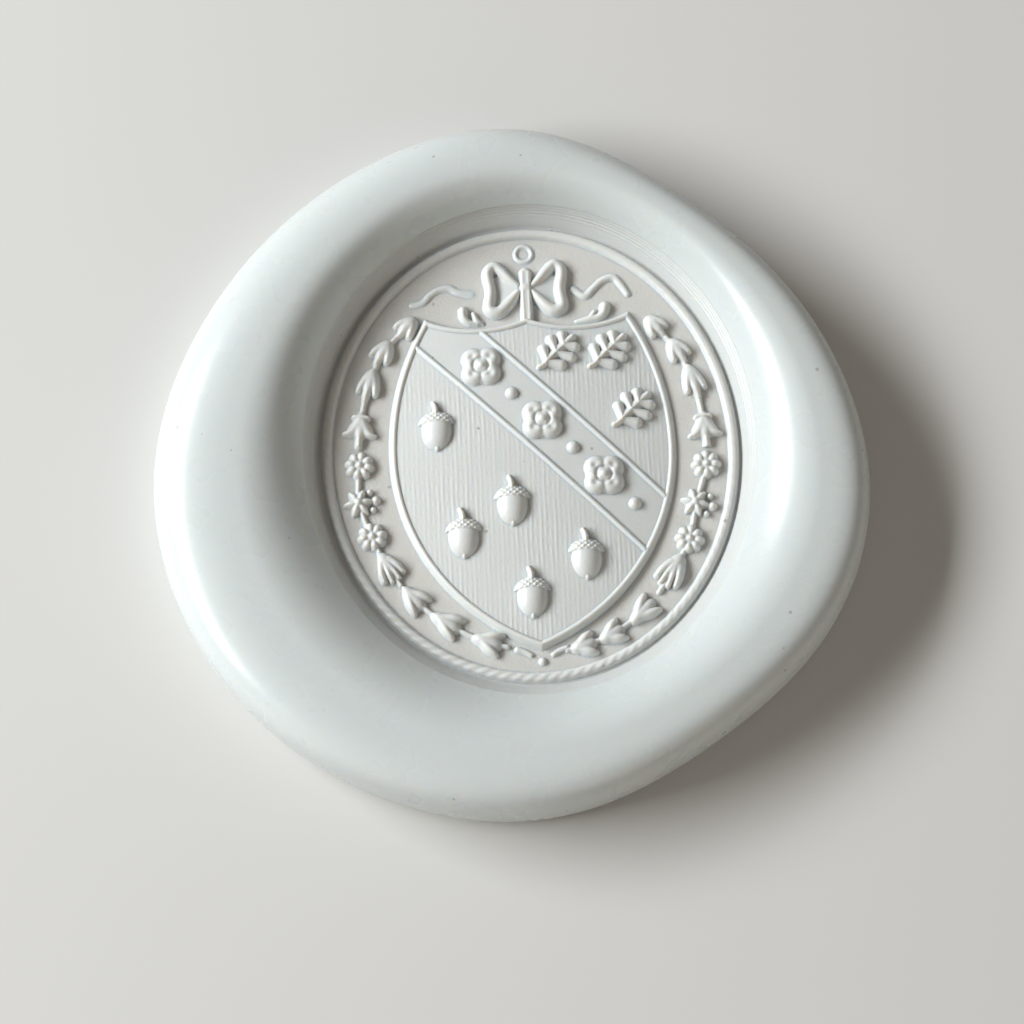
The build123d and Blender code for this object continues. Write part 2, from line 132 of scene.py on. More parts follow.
# Rope border
ROPE_WIDTH = 0.6
ROPE_RISE = 0.3
ROPE_TURNS = 118
ROPE_TWIST = 0.12           # depth between strands as a share of the rise, where the twist shows most
TWIST_HEADING = 240.0
TWIST_LEAST = 0.3
ROPE_SLANT = 0.55
ROPE_STEPS = 2000           # readings round the oval that space the strands evenly
OVAL_EASE = 0.16            # the pressed oval stands out by up to twice this, away from the heading
EASE_HEADING = 30.0

# Garlands
GARLAND_INSET = 1.75
GARLAND_X = ROPE_HIGH[0] - GARLAND_INSET
GARLAND_Y = ROPE_HIGH[1] - GARLAND_INSET
GARLAND_START = 43.9
GARLAND_TURN = 1.6
GARLAND_STEP = 11.85
GARLAND_SPACING = 0.22
GARLAND_RISE = 0.5
# Items are counted from the top: 0 to 2 are bell husks, 3 the crown, 4 to 6 flowers, 7 the fan and
# 8 to 10 tulips. Each sits off its even place by steps along the garland, and outward.
ITEM_SHIFTS = {
    1: (
        (0.25, -0.3), (0.12, -0.05), (0.0, 0.0), (0.24, 0.0), (0.1, 0.0), (0.1, -0.32),
        (0.03, 0.0), (0.0, 0.0), (0.2, 0.26), (0.2, 0.33), (0.0, 0.33),
    ),
    -1: (
        (0.2, -0.35), (0.12, 0.0), (0.03, 0.0), (0.18, 0.0), (0.06, 0.0), (-0.04, 0.38),
        (-0.16, 0.25), (-0.28, 0.3), (-0.27, 0.26), (-0.2, 0.15), (0.0, 0.13),
    ),
}
HUSK_LENGTHS = (0.8, 0.92, 1.0)
HUSK_WIDTH = 1.3
CROWN_WIDTH = 1.85
FAN_WIDTH = 1.45
TULIP_WIDTH = 1.4
TULIP_LENGTH = 0.9
STALK = (0.15, 0.24)        # half width and rise of the stalk
STEM = ((1.32, -11.2, 0.17, 0.25), (0.95, -11.32, 0.16, 0.22), (0.6, -11.52, 0.14, 0.2))

# Flowers: lengths are shares of the radius, and rises are counted from the garland's
FLOWER_RADIUS = 0.82
FLOWER_BLEND = 0.04
DAISY_DISC = (0.8, -0.12)
DAISY_EYE = (0.28, 0.06)
DAISY_PETAL = (0.58, 0.43, 0.34, -0.04)  # reach, half length, half width and rise
DAISY_PETALS = 8
DAISY_TURN = 10
ROSETTE_DISC = (0.66, -0.08)
ROSETTE_EYE = (0.4, 0.08)
ROSETTE_PETAL = ((0.2, 0, 0.28, 0.46), (0.5, 0, 0.29, 0.46), (0.84, 0, 0.15, 0.34))
ROSETTE_PETALS = 6
ROSETTE_TURN = 30
BERRIES = ((-0.52, 0.7, 0.17), (0.0, 0.96, 0.26), (0.5, 0.72, 0.17))  # along, across, radius
BERRY_RISE = 0.4

# Parts of the husks, each a run of (along, out, half width, rise) as shares of the item's length,
# width, width and the garland's rise. The first is the middle, and the others lie on both sides.
BELL = (
    (
        (-0.4, 0, 0.2, 0.7), (-0.22, 0, 0.36, 0.95), (0.0, 0, 0.34, 1.0),
        (0.2, 0, 0.21, 0.95), (0.42, 0, 0.13, 0.65),
    ),
    ((-0.2, 0.14, 0.25, 0.9), (0.02, 0.28, 0.21, 0.95), (0.19, 0.35, 0.15, 0.85)),
)
CROWN = (
    (
        (-0.36, 0, 0.18, 0.85), (-0.16, 0, 0.2, 0.9), (0.02, 0, 0.24, 1.0),
        (0.18, 0, 0.13, 0.85), (0.42, 0, 0.12, 0.75),
    ),
    ((-0.35, 0.0, 0.1, 0.95), (-0.35, 0.2, 0.09, 0.9)),
    (
        (-0.2, 0.05, 0.2, 0.95), (-0.02, 0.16, 0.21, 0.95), (0.09, 0.3, 0.13, 0.88),
        (0.12, 0.44, 0.08, 0.7),
    ),
)
FAN = (
    ((-0.44, 0, 0.18, 0.65), (-0.28, 0, 0.32, 0.95), (-0.05, 0, 0.36, 1.0), (0.12, 0, 0.2, 0.8)),
    ((-0.1, 0.06, 0.16, 0.95), (0.16, 0.12, 0.13, 1.0), (0.38, 0.15, 0.1, 0.75)),
    ((-0.2, 0.18, 0.22, 0.95), (0.04, 0.33, 0.18, 1.0), (0.26, 0.4, 0.13, 0.75)),
)
TULIP = (
    (
        (-0.44, 0, 0.17, 0.75), (-0.28, 0, 0.27, 0.95), (-0.05, 0, 0.32, 0.95),
        (0.14, 0, 0.3, 0.85), (0.28, 0, 0.2, 0.6),
    ),
    ((-0.2, 0.1, 0.2, 0.9), (0.04, 0.26, 0.21, 1.0), (0.22, 0.36, 0.16, 0.85), (0.33, 0.42, 0.1, 0.55)),
)
PETAL_BLEND = 0.08          # petals of a husk run together over this height

# Shield
SHIELD_SHOULDER = 2.15
CORNER_X = SHIELD_HALF - SHIELD_SHOULDER
TOP_MIDDLE = CORNER_Y - 0.2
TOP_LOW = CORNER_Y - 0.7
CROWN_ACROSS = 0.62
CROWN_ALONG = 0.45
LINE_WIDTH = 0.35
LINE_RISE = 0.13
LINE_SPREAD = 0.72          # the outline's outer side runs out over this share of its width
LEAST_CREST = 0.05
FIELD_INSET = 0.06          # the field stops this far inside the outline's outer edge
HATCH_CLEAR = (0.05, 0.2)   # the hatching fades in over this distance from the diagonal band
HATCH_POWER = 1.5
HATCH_WAVER = (0.3, 1.3, 2.1)  # how far its lines waver, and the waves per x and per y
HATCH_LEAST = 0.4           # share of its depth that is left in the worn patches
# Patches where the hatching is whole: two waves as (per x, per y, start), and the values they fade over
WHOLE_PATCHES = ((0.9, 0.5, 0.7), (-0.4, 0.7, 2.0), (-0.5, 0.8))
WHOLE_SPOTS = ((7.1, 2.9, 0.0), (-1.9, 3.7, 0.5), (-0.9, 0.4))

# Devices on the shield
BEND_FOOT = -4.75
BEND_WIDTH = 3.3
BEND_LINE_WIDTH = 0.3
BEND_LINE_STOP = 0.6        # the lines stop this share of the outline's width inside it
BEND_LINE_SLOPE = 3.0
QUATREFOIL_WIDTH = 2.5
QUATREFOIL_PLACES = (0.24, 0.5, 0.76)
LOBE_SHARE = 0.27
LOBE_RISE = 0.5
LOBE_DISH = (1.15, 0.3, 0.16)  # place as a share of the reach, radius as one of the lobe's, and depth
LEAF_POINT = ((0.4, 0, 0.22, 0.42), (1.62, 0, 0.07, 0.2))
BOSS = (0.4, 0.52)          # radius and rise
BOSS_GROOVE = (0.42, 0.1, 0.14)  # radius, half width and depth
STUD_PLACES = (0.37, 0.63, 0.89)
STUD_WIDTH = 0.7
STUD_RISE = 0.3
CHARGE_LENGTH = 0.36 * SHIELD_HALF
CHARGE_WIDTH = 0.26 * SHIELD_HALF
LEAF_PLACES = ((0.21, 0.7), (0.57, 0.7), (0.72, 0.26))
LEAF_LOBES = ((-0.16, 0.34), (0.09, 0.38), (0.3, 0.24))
LOBE_ROOT = 0.14            # a leaf's lobe grows from this far back along the rib
LOBE_ENDS = ((0.24, 0.4), (0.32, 0.4))  # half width and rise at a lobe's root and its round end
VEIN_ENDS = ((0.08, 0.48), (0.05, 0.36))
LEAF_BLADE = ((-0.3, 0, 0.26, 0.4), (0.1, 0, 0.34, 0.4), (0.42, 0, 0.22, 0.4))
LEAF_RIB = ((-0.34, 0, 0.12, 0.52), (0.46, 0, 0.06, 0.4))
LEAF_STALK = ((-0.3, 0, 0.14, 0.44), (-0.42, 0.01, 0.15, 0.4), (-0.5, 0.06, 0.15, 0.34))
ACORN_PLACES = ((-0.67, -0.13), (-0.16, 0.27), (0.34, 0.55), (-0.51, 0.42), (-0.05, 0.73))
# Along, half length, half width and rise of an acorn's parts
ACORN_NUT = (-0.08, 0.41, 0.41, 0.56)
ACORN_TIP = (-0.46, 0.06, 0.07, 0.26)
ACORN_CUP = (0.01, 0.31, 0.5, 0.66)
ACORN_STALK = ((0.27, 0, 0.17, 0.46), (0.38, 0.01, 0.16, 0.42), (0.48, 0.05, 0.14, 0.38))
CUP_BRIM = (0.04, 7.0)      # place and slope of the cup's edge
CUP_SCALES = (0.34, 0.1)    # pitch and depth
SCALES_START = (0.0, 0.2)   # heights of the cup over which they fade in
ACORN_BLEND = 0.035

# Ribbon bow
LOOP_LOW, LOOP_HIGH = packed_box("right_bow_loop")
KNOT_Y = (LOOP_LOW[1] + LOOP_HIGH[1]) / 2
KNOT = (0.48, 0.42, 0.46)   # half width, half height and rise
STRAP_TOP = 10.28
STRAP_FOOT = 7.5
STRAP_X = 0.04
STRAP_HALF = 0.36
STRAP_RISES = (0.31, 0.4, 0.31)
RIB_OUT = 0.16
RIB_HALF = 0.19
RIB_RISES = (0.34, 0.43, 0.34)
# Runs of (x, y, half width, rise) as the right side is drawn; a loop's y is counted from the knot
LOOP_RIBBON = (
    (0.4, 0.14, 0.2, 0.36), (0.85, 0.57, 0.28, 0.45), (1.3, 1.08, 0.33, 0.48), (1.68, 1.33, 0.34, 0.48),
    (2.02, 0.92, 0.34, 0.48), (1.9, -0.15, 0.33, 0.48), (1.98, -1.12, 0.37, 0.48),
    (1.46, -1.32, 0.37, 0.48), (0.78, -0.68, 0.32, 0.45), (0.4, -0.2, 0.2, 0.36),
)
LOOP_FACE = (0.3, 0.14)     # rise of a loop's sunk face at the knot and its fall per millimetre outward
FACE_PLACE = (1.15, -0.1)
FACE_HALF = (0.8, 1.0)
FACE_SLOPE = 2.0
TAILS = {
    "right": (
        (2.62, 9.28, 0.2, 0.1), (3.24, 8.86, 0.21, 0.17), (3.73, 9.27, 0.2, 0.19),
        (4.26, 9.73, 0.2, 0.18), (4.86, 9.87, 0.2, 0.18), (5.26, 9.42, 0.2, 0.19),
        (5.6, 8.86, 0.17, 0.16),
    ),
    "left": (
        (2.99, 9.19, 0.2, 0.05), (3.69, 9.36, 0.2, 0.1), (4.15, 9.62, 0.2, 0.11),
        (4.75, 9.53, 0.19, 0.12), (5.22, 9.24, 0.19, 0.14), (5.63, 8.83, 0.19, 0.13),
        (6.2, 8.7, 0.17, 0.08),
    ),
}
CURLS = {
    "right": (
        ((2.74, 7.38, 0.12, 0.1), (3.46, 7.52, 0.2, 0.24), (3.72, 7.88, 0.14, 0.26)),
        (
            (3.3, 7.48, 0.2, 0.2), (3.9, 7.56, 0.22, 0.3), (4.22, 7.8, 0.28, 0.4),
            (4.32, 8.16, 0.32, 0.44),
        ),
    ),
    "left": (
        ((2.34, 7.46, 0.12, 0.08), (2.7, 7.6, 0.18, 0.26), (2.9, 8.02, 0.14, 0.28)),
        (
            (2.7, 7.44, 0.16, 0.16), (3.2, 7.56, 0.2, 0.28), (3.44, 7.86, 0.26, 0.38),
            (3.46, 8.22, 0.28, 0.4),
        ),
    ),
}
RING_LINE = (0.11, 0.14, 0.11)  # inset of the ring's line, its half width and rise
SIDES = {"right": 1, "left": -1}

# Relief meshes
PITCH = 0.045
ROPE_PITCH = 0.04
FIELD_PITCH = (0.035, 0.14)  # across and along the upright hatching
FILLET = 0.05               # relief runs into the ground, and form into form, over this height
SOFT_BLEND = 0.06
CRISP_BLEND = 0.03
SINK = 0.0006               # the fillet's edge lies this far under the ground
BED = 0.06                  # relief reaches this far into the ground
MARGIN = 0.5                # room round a packed box
LEAST_WIDTH = 0.02
PLUMPNESS = 0.62            # forms swell from their outline: 0.5 is a half round, 1.0 a shallow dome

# Wax finishes, in metres: settings of tone and roughness, share of grain in the skin and its depth
WAXES = {
    "Poured wax": ("tone", "poured_roughness", 0.12, 0.00001),
    # The pressed wax's tone is painted light, and the wall and ground wax's tones are painted shade.
    "Pressed wax": ("pressed_tone", "pressed_roughness", 0.6, 0.00002),
    "Wall wax": ("wall_tone_painted_shade", "pressed_roughness", 0.7, 0.00003),
    "Ground wax": ("ground_tone_painted_shade", "pressed_roughness", 0.75, 0.000035),
}
WAX_IOR = 1.45
GLOW_RADIUS = (1.0, 0.7, 0.45)  # red light passes furthest
CLOUD_SIZE = 0.005
CLOUD_SPAN = (0.25, 0.75)   # values of the noise between which the clouds deepen
RIPPLE_SIZE = 0.0022
SPECK_SPACING = 0.0015
SPECK_RADIUS = 0.07         # share of the spacing
SPECK_SHARE = 0.9
SHEEN_SWING = 0.02
SHEEN_SPAN = (0.3, 0.7)

# Stage, in metres
FLOOR_HALF = 0.6
FLOOR_ROUGHNESS = 0.7
ROOM_COLOUR = (1.0, 0.9, 0.8, 1.0)
AIM_AT = (-1.27, -3.43)     # the camera looks at this point of the pressed floor, in millimetres
CLIP = (0.01, 10.0)
# Direction, distance, size, share of the window's power and colour of each lamp
LAMPS = {
    "window": ((-0.823, 0.165, 0.543), 0.45, (0.42, 0.12), 1.0, (0.95, 0.985, 1.0)),
    "warm_fill": ((0.5, -0.8, 0.4), 0.5, (0.3, 0.3), 0.11, (1.0, 0.9, 0.78)),
}


class WaxFinish(bpy.types.PropertyGroup):
    """Colours and surface of the wax."""

    tone: FloatVectorProperty(
        name="Tone", description="Main colour of the wax", subtype="COLOR", size=4,
        min=0.0, max=1.0, default=(0.60, 0.636, 0.63, 1.0),
    )
    # Painted light: the pressed tone is a lighter copy of the wax's tone, so that the pressed relief
    # and shield read brighter than the rim.
    pressed_tone: FloatVectorProperty(
        name="Pressed tone painted light", description="Main colour where the die pressed", subtype="COLOR", size=4,
        min=0.0, max=1.0, default=(0.65, 0.665, 0.652, 1.0),
    )
    # Painted shade: the wall tone is a darker copy of the wax's tone, which darkens the well's wall.
    wall_tone_painted_shade: FloatVectorProperty(
        name="Wall tone painted shade", description="Main colour of the well's wall", subtype="COLOR", size=4,
        min=0.0, max=1.0, default=(0.57, 0.588, 0.578, 1.0),
    )
    # Painted shade: the ground tone is a darker and warmer copy of the wax's tone, which darkens the
    # well's pressed floor.
    ground_tone_painted_shade: FloatVectorProperty(
        name="Ground tone painted shade", description="Main colour of the pressed floor", subtype="COLOR", size=4,
        min=0.0, max=1.0, default=(0.612, 0.603, 0.575, 1.0),
    )
    clouding: FloatProperty(
        name="Clouding", description="How much darker the faint clouds in the wax are", default=0.012,
        min=0.0, max=1.0, subtype="FACTOR",
    )
    speck: FloatVectorProperty(
        name="Specks", description="Colour of the dust caught in the wax", subtype="COLOR", size=4,
        min=0.0, max=1.0, default=(0.42, 0.42, 0.41, 1.0),
    )
    poured_roughness: FloatProperty(
        name="Poured roughness", description="Roughness of the free rim", default=0.28,
        min=0.0, max=1.0, subtype="FACTOR",
    )
    pressed_roughness: FloatProperty(
        name="Pressed roughness", description="Roughness where the die pressed", default=0.36,
        min=0.0, max=1.0, subtype="FACTOR",
    )
    glow: FloatProperty(
        name="Glow", description="Share of the light that passes through the skin of the wax",
        default=0.6, min=0.0, max=1.0, subtype="FACTOR",
    )
    glow_reach: FloatProperty(
        name="Glow reach", description="How far light passes inside the wax", default=0.0004,
        min=0.0, max=0.01, unit="LENGTH",
    )
    grain: FloatProperty(
        name="Grain", description="Size of the fine grain that the die leaves", default=0.00016,
        min=0.00001, max=0.01, unit="LENGTH",
    )


class WaxShape(bpy.types.PropertyGroup):
    """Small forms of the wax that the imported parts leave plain."""

    rim_wander: FloatProperty(
        name="Rim wander", description="How far the rim's height wanders round the clock",
        default=0.00005, min=0.0, max=0.001, unit="LENGTH",
    )
    wall_line_depth: FloatProperty(
        name="Wall lines", description="Depth of the fine lines on the well's wall",
        default=0.00003, min=0.0, max=0.0002, unit="LENGTH",
    )
    wall_line_pitch: FloatProperty(
        name="Wall line pitch", description="Height from one line of the wall to the next",
        default=0.00017, min=0.00005, max=0.001, unit="LENGTH",
    )
    hatch_depth: FloatProperty(
        name="Hatching", description="Depth of the upright hatching on the shield",
        default=0.000018, min=0.0, max=0.0002, unit="LENGTH",
    )
    hatch_pitch: FloatProperty(
        name="Hatching pitch", description="Distance from one hatching line to the next",
        default=0.00026, min=0.00005, max=0.001, unit="LENGTH",
    )


class WaxStage(bpy.types.PropertyGroup):
    """Floor, lights and camera."""

    floor: FloatVectorProperty(
        name="Floor", description="Colour of the floor", subtype="COLOR", size=4,
        min=0.0, max=1.0, default=(0.62, 0.61, 0.59, 1.0),
    )
    key_power: FloatProperty(
        name="Window light", description="Power of the large soft light", default=3.45, min=0.0,
    )
    sky: FloatProperty(
        name="Room light", description="Strength of the light from all round", default=0.165, min=0.0,
    )
    elevation: FloatProperty(
        name="Camera elevation", description="Camera angle above the floor", default=math.radians(71.7),
        subtype="ANGLE",
    )
    turn: FloatProperty(
        name="Camera turn", description="Camera angle round the seal", default=math.radians(2.5),
        subtype="ANGLE",
    )
    view_angle: FloatProperty(
        name="View angle", description="Camera's angle of view", default=math.radians(14.0),
        subtype="ANGLE",
    )
    view_width: FloatProperty(
        name="View width", description="Width of the view at the pressed floor", default=0.0552,
        unit="LENGTH",
    )


# Shape helpers
def smooth_max(a, b, blend):
    """The higher of two heights, with a rounded joint."""
    share = np.clip(0.5 + 0.5 * (a - b) / blend, 0.0, 1.0)
    return b + (a - b) * share + blend * share * (1.0 - share)


def join(heights, blend=FILLET):
    """One height from several, with rounded joints."""
    result = heights[0]
    for height in heights[1:]:
        result = smooth_max(result, height, blend)
    return result


def local(x, y, place, heading=0.0):
    """Coordinates along and across a heading in degrees, from a place."""
    c = math.cos(math.radians(heading))
    s = math.sin(math.radians(heading))
    dx = x - place[0]
    dy = y - place[1]
    return c * dx + s * dy, c * dy - s * dx


def swell(inset):
    """Height share of a plump form from 0 at its outline to 1 at its crest, below 0 outside."""
    return np.where(inset > 0, np.abs(inset) ** PLUMPNESS, inset)


def dome(along, across, half_length, half_width, rise):
    """Oval dome, which falls below zero outside its outline."""
    return rise * swell(1.0 - (along / half_length) ** 2 - (across / half_width) ** 2)


def smooth_line(points, steps=8):
    """Points along a smooth curve through the given ones."""
    points = np.asarray(points, float)
    padded = np.vstack([2 * points[0] - points[1], points, 2 * points[-1] - points[-2]])
    t = np.linspace(0.0, 1.0, steps, endpoint=False)[:, None]
    line = []
    for a, b, c, d in zip(padded[:-3], padded[1:-2], padded[2:-1], padded[3:]):
        square = 2 * a - 5 * b + 4 * c - d
        cube = 3 * b - a - 3 * c + d
        line.append(0.5 * (2 * b + (c - a) * t + square * t**2 + cube * t**3))
    return np.vstack(line + [points[-1:]])


def ridge(x, y, points, steps=8):
    """Rounded ridge along a smooth curve through points of (x, y, half width, rise)."""
    line = smooth_line(points, steps)
    best = np.full(np.shape(x), -np.inf)
    for here, there in zip(line[:-1], line[1:]):
        dx, dy = there[:2] - here[:2]
        share = ((x - here[0]) * dx + (y - here[1]) * dy) / (dx * dx + dy * dy)
        share = np.clip(share, 0.0, 1.0)
        gap = np.hypot(x - here[0] - share * dx, y - here[1] - share * dy)
        width = np.maximum(here[2] + (there[2] - here[2]) * share, LEAST_WIDTH)
        rise = here[3] + (there[3] - here[3]) * share
        best = np.maximum(best, rise * swell(1.0 - (gap / width) ** 2))
    return best


def fade(low, high, value):
    """Soft step from 0 at the low value to 1 at the high one."""
    share = np.clip((value - low) / (high - low), 0.0, 1.0)
    return share * share * (3.0 - 2.0 * share)


# Mesh makers
def new_mesh(name, points, faces_by_size):
    """A smooth mesh from points in millimetres and arrays of faces with the same number of corners."""
    mesh = bpy.data.meshes.new(name)
    corners = np.concatenate([np.ravel(faces) for faces in faces_by_size])
    sizes = np.concatenate([np.full(len(faces), np.shape(faces)[1]) for faces in faces_by_size])
    starts = np.concatenate([[0], np.cumsum(sizes)[:-1]])
    mesh.vertices.add(len(points))
    mesh.vertices.foreach_set("co", (np.asarray(points) * MM).astype(np.float32).ravel())
    mesh.loops.add(len(corners))
    mesh.loops.foreach_set("vertex_index", corners.astype(np.int32))
    mesh.polygons.add(len(sizes))
    mesh.polygons.foreach_set("loop_start", starts.astype(np.int32))
    mesh.update(calc_edges=True)
    mesh.validate()
    mesh.shade_smooth()
    return mesh


def add_piece(name, mesh, materials, node):
    """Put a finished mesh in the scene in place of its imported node."""
    piece = bpy.data.objects.new(name, mesh)
    bpy.context.scene.collection.objects.link(piece)
    for material in materials:
        mesh.materials.append(material)
    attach(piece, "root")
    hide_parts(node)


def fill_corners(keep):
    """Keep the cells that would otherwise meet only at a corner."""
    while True:
        a, b = keep[:-1, :-1], keep[:-1, 1:]
        c, d = keep[1:, :-1], keep[1:, 1:]
        crossed = (a & d & ~b & ~c) | (b & c & ~a & ~d)
        if not crossed.any():
            return keep
        rows, columns = np.nonzero(crossed)
        for down in (0, 1):
            for right in (0, 1):
                keep[rows + down, columns + right] = True


def shell(x, y, top, bottom, keep):
    """Points and faces of a closed form over the kept cells of a grid."""
    index = np.arange(x.size).reshape(x.shape)
    cells = np.stack([index[:-1, :-1], index[:-1, 1:], index[1:, 1:], index[1:, :-1]], axis=-1)[keep]
    used, cells = np.unique(cells, return_inverse=True)
    cells = cells.reshape(-1, 4)
    edges = np.concatenate([cells[:, [k, (k + 1) % 4]] for k in range(4)])
    _, first, counts = np.unique(np.sort(edges, axis=1), axis=0, return_index=True, return_counts=True)
    rim = edges[first[counts == 1]]
    under = len(used)
    walls = np.stack([rim[:, 1], rim[:, 0], rim[:, 0] + under, rim[:, 1] + under], axis=-1)
    x, y, top, bottom = [np.ravel(values)[used] for values in (x, y, top, bottom)]
    points = np.concatenate([np.stack([x, y, top], axis=-1), np.stack([x, y, bottom], axis=-1)])
    return points, [np.concatenate([cells, cells[:, ::-1] + under, walls])]


def flat_ground(x, _):
    """The pressed floor itself."""
    return np.zeros_like(x)


def field_ground(x, y):
    """Height of the crowned shield over the pressed floor."""
    return FIELD_TOP - CROWN_ACROSS * (x / SHIELD_HALF) ** 2 - CROWN_ALONG * (y / SHIELD_TIP) ** 2


def add_relief(node, rise_at, material, ground=flat_ground, pitch=PITCH):
    """A closed piece whose top is rise_at over the ground, drawn into it along a small fillet."""
    low, high = packed_box(node)
    columns = np.arange(low[0] - MARGIN, high[0] + MARGIN, pitch)
    rows = np.arange(low[1] - MARGIN, high[1] + MARGIN, pitch)
    x, y = np.meshgrid(columns, rows)
    rise = rise_at(x, y)
    base = FLOOR + ground(x, y)
    top = base + smooth_max(rise, np.zeros_like(rise), FILLET) - SINK
    near = rise > -FILLET
    keep = near[:-1, :-1] | near[:-1, 1:] | near[1:, :-1] | near[1:, 1:]
    wide = np.pad(keep, 1)
    keep = keep | wide[:-2, 1:-1] | wide[2:, 1:-1] | wide[1:-1, :-2] | wide[1:-1, 2:]
    points, faces = shell(x, y, top, base - BED, fill_corners(keep))
    add_piece("pressed_" + node, new_mesh(node, points, faces), [material], node)


# Wax finishes
def new_group(name, inputs, outputs):
    """An empty shader group with its named sockets."""
    group = bpy.data.node_groups.new(name, "ShaderNodeTree")
    for label, kind, value in inputs:
        socket = group.interface.new_socket(label, in_out="INPUT", socket_type=kind)
        socket.default_value = value
    for label, kind in outputs:
        group.interface.new_socket(label, in_out="OUTPUT", socket_type=kind)
    return group, group.nodes.new("NodeGroupInput"), group.nodes.new("NodeGroupOutput")


def add_math(tree, operation, first, second):
    node = tree.nodes.new("ShaderNodeMath")
    node.operation = operation
    for socket, value in zip(node.inputs, (first, second)):
        if isinstance(value, bpy.types.NodeSocket):
            tree.links.new(value, socket)
        else:
            socket.default_value = value
    return node.outputs[0]


def add_noise(tree, size, detail):
    """Noise whose features have the given size, a socket in metres."""
    place = tree.nodes.new("ShaderNodeTexCoord")
    noise = tree.nodes.new("ShaderNodeTexNoise")
    noise.inputs["Detail"].default_value = detail
    tree.links.new(place.outputs["Object"], noise.inputs["Vector"])
    tree.links.new(add_math(tree, "DIVIDE", 1.0, size), noise.inputs["Scale"])
    return noise.outputs["Fac"]


def make_cloud_group():
    """Faint clouds of a second colour in the wax."""
    group, given, out = new_group(
        "Wax clouds",
        [("Tone", "NodeSocketColor", (1, 1, 1, 1)), ("Shade", "NodeSocketColor", (1, 1, 1, 1)),
         ("Size", "NodeSocketFloat", 0.004)],
        [("Colour", "NodeSocketColor")],
    )
    noise = add_noise(group, given.outputs["Size"], 3.0)
    spread = group.nodes.new("ShaderNodeMapRange")
    spread.interpolation_type = "SMOOTHSTEP"
    spread.inputs["From Min"].default_value = CLOUD_SPAN[0]
    spread.inputs["From Max"].default_value = CLOUD_SPAN[1]
    blend = group.nodes.new("ShaderNodeMix")
    blend.data_type = "RGBA"
    group.links.new(noise, spread.inputs["Value"])
    group.links.new(spread.outputs["Result"], blend.inputs["Factor"])
    group.links.new(given.outputs["Tone"], blend.inputs["A"])
    group.links.new(given.outputs["Shade"], blend.inputs["B"])
    group.links.new(blend.outputs["Result"], out.inputs["Colour"])
    return group


def make_speck_group():
    """Scattered dust caught in the wax, as a mask."""
    group, given, out = new_group(
        "Wax specks",
        [("Spacing", "NodeSocketFloat", 0.002), ("Radius", "NodeSocketFloat", 0.05),
         ("Share", "NodeSocketFloat", 0.2)],
        [("Mask", "NodeSocketFloat")],
    )
    place = group.nodes.new("ShaderNodeTexCoord")
    cells = group.nodes.new("ShaderNodeTexVoronoi")
    split = group.nodes.new("ShaderNodeSeparateColor")
    group.links.new(place.outputs["Object"], cells.inputs["Vector"])
    group.links.new(add_math(group, "DIVIDE", 1.0, given.outputs["Spacing"]), cells.inputs["Scale"])
    group.links.new(cells.outputs["Color"], split.inputs["Color"])
    chosen = add_math(group, "LESS_THAN", split.outputs["Red"], given.outputs["Share"])
    reach = add_math(group, "MULTIPLY", given.outputs["Radius"], split.outputs["Green"])
    inside = add_math(group, "LESS_THAN", cells.outputs["Distance"], reach)
    group.links.new(add_math(group, "MULTIPLY", chosen, inside), out.inputs["Mask"])
    return group


def make_skin_group():
    """Height of the wax's ripples and fine grain, and where its sheen is duller."""
    group, given, out = new_group(
        "Wax skin",
        [("Ripple size", "NodeSocketFloat", 0.003), ("Grain size", "NodeSocketFloat", 0.0002),
         ("Grain share", "NodeSocketFloat", 0.5)],
        [("Height", "NodeSocketFloat"), ("Dullness", "NodeSocketFloat")],
    )
    ripple = add_noise(group, given.outputs["Ripple size"], 2.0)
    grain = add_noise(group, given.outputs["Grain size"], 2.0)
    blend = group.nodes.new("ShaderNodeMix")
    group.links.new(given.outputs["Grain share"], blend.inputs["Factor"])
    group.links.new(ripple, blend.inputs["A"])
    group.links.new(grain, blend.inputs["B"])
    group.links.new(blend.outputs["Result"], out.inputs["Height"])
    group.links.new(ripple, out.inputs["Dullness"])
    return group


def add_group(tree, make, name, **values):
    """Place a shared group in a material with its own values."""
    node = tree.nodes.new("ShaderNodeGroup")
    node.node_tree = bpy.data.node_groups.get(name) or make()
    for label, value in values.items():
        node.inputs[label.replace("_", " ")].default_value = value
    return node


